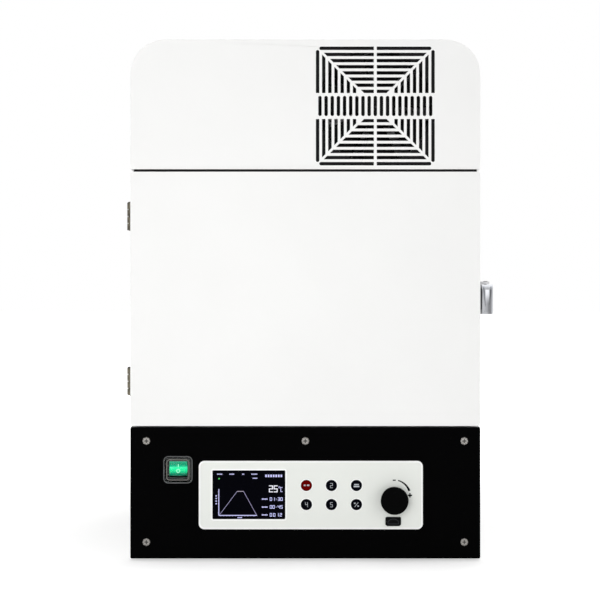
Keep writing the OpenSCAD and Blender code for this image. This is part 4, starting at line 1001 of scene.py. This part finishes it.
floor_mesh = bpy.data.meshes.new("floor")
floor_build = bmesh.new()
bmesh.ops.create_grid(floor_build, x_segments=1, y_segments=1, size=FLOOR_HALF)
floor_build.to_mesh(floor_mesh)
floor_build.free()
floor = bpy.data.objects.new("floor", floor_mesh)
scene.collection.objects.link(floor)


def shader_mix(tree, output, diffuse_rays, background_rays):
    """Shows one shader to camera, glossy and transmission rays and another to the rest."""
    path = tree.nodes.new("ShaderNodeLightPath")
    seen = path.outputs["Is Camera Ray"]
    for kind in ("Is Glossy Ray", "Is Transmission Ray"):
        either = tree.nodes.new("ShaderNodeMath")
        either.operation = "MAXIMUM"
        tree.links.new(seen, either.inputs[0])
        tree.links.new(path.outputs[kind], either.inputs[1])
        seen = either.outputs[0]
    mix = tree.nodes.new("ShaderNodeMixShader")
    tree.links.new(seen, mix.inputs["Fac"])
    tree.links.new(diffuse_rays, mix.inputs[1])
    tree.links.new(background_rays, mix.inputs[2])
    tree.links.new(mix.outputs[0], tree.nodes.new(output).inputs["Surface"])


def floor_material():
    """Pale floor, lit white far away, that keeps the shadow at the furnace's foot and adds a
    painted shadow round it where its glow is low.
    """
    m = bpy.data.materials.new("floor_white")
    m.use_nodes = True
    tree = m.node_tree
    tree.nodes.clear()
    diffuse = tree.nodes.new("ShaderNodeBsdfDiffuse")
    diffuse.inputs["Color"].default_value = FLOOR_COLOR
    glow = tree.nodes.new("ShaderNodeEmission")
    glow.inputs["Color"].default_value = WHITE_LIGHT
    place = tree.nodes.new("ShaderNodeTexCoord")
    away = tree.nodes.new("ShaderNodeVectorMath")
    away.operation = "LENGTH"
    rise = tree.nodes.new("ShaderNodeMapRange")
    rise.interpolation_type = "SMOOTHSTEP"
    for socket, value in (("From Min", GLOW_NEAR), ("From Max", GLOW_FAR),
                          ("To Min", GLOW_IN_PAINTED_SHADOW), ("To Max", GLOW_FULL)):
        rise.inputs[socket].default_value = value
    tree.links.new(place.outputs["Object"], away.inputs[0])
    tree.links.new(away.outputs["Value"], rise.inputs["Value"])
    # The glow, weak near the furnace, gives a painted shadow round it
    tree.links.new(rise.outputs["Result"], glow.inputs["Strength"])
    lit = tree.nodes.new("ShaderNodeAddShader")
    tree.links.new(diffuse.outputs[0], lit.inputs[0])
    tree.links.new(glow.outputs[0], lit.inputs[1])
    shader_mix(tree, "ShaderNodeOutputMaterial", diffuse.outputs[0], lit.outputs[0])
    return m


def white_world():
    """Even soft light, in front of a background of plain white."""
    world = bpy.data.worlds.new("white")
    world.use_nodes = True
    tree = world.node_tree
    tree.nodes.clear()
    shades = []
    for strength in (SOFT_STRENGTH, 1.0):
        shade = tree.nodes.new("ShaderNodeBackground")
        shade.inputs["Color"].default_value = WHITE_LIGHT
        shade.inputs["Strength"].default_value = strength
        shades.append(shade.outputs[0])
    shader_mix(tree, "ShaderNodeOutputWorld", *shades)
    return world


floor_mesh.materials.append(floor_material())
scene.world = white_world()


def soft_light(name, place, target, size, power):
    """A disk lamp that is seen by matt surfaces alone."""
    data = bpy.data.lights.new(name, "AREA")
    data.shape = "DISK"
    data.size = size
    data.energy = power
    light = bpy.data.objects.new(name, data)
    light.location = place
    light.rotation_euler = (Vector(target) - Vector(place)).to_track_quat("-Z", "Y").to_euler()
    light.visible_glossy = False
    light.visible_camera = False
    scene.collection.objects.link(light)


CENTRE = (0, 0, 0.26)
DOOR_CENTRE = (0, 0, 0.3)

# Lamps: name, place, target, size in metres and power in watts
for lamp_row in (
    ("key_light", (-0.32, -1.4, 0.34), DOOR_CENTRE, 0.8, 6.2),
    ("fill_light", (1.7, -2.2, 0.5), CENTRE, 1.6, 10),
    ("top_light", (0.0, -0.2, 2.6), CENTRE, 2.2, 22),
    ("rear_light", (0.9, 2.6, 1.2), CENTRE, 2.0, 22),
    ("left_light", (-2.2, 0.5, 0.8), CENTRE, 1.6, 8),
    ("right_light", (2.2, 0.5, 0.8), CENTRE, 1.6, 8),
):
    soft_light(*lamp_row)

SENSOR_MM, LENS_MM = 36, 90
camera_data = bpy.data.cameras.new("camera")
camera_data.sensor_width = SENSOR_MM
camera_data.lens = LENS_MM
camera = bpy.data.objects.new("camera", camera_data)
mid_x = (door_low.x + door_high.x) / 2
camera.location = (mid_x + VIEW_CENTRE_X, FRONT_Y - VIEW_DISTANCE, VIEW_CENTRE_Z)
camera.rotation_euler = (math.radians(90), 0, 0)
scene.collection.objects.link(camera)
scene.camera = camera
scene.view_settings.view_transform = "Standard"
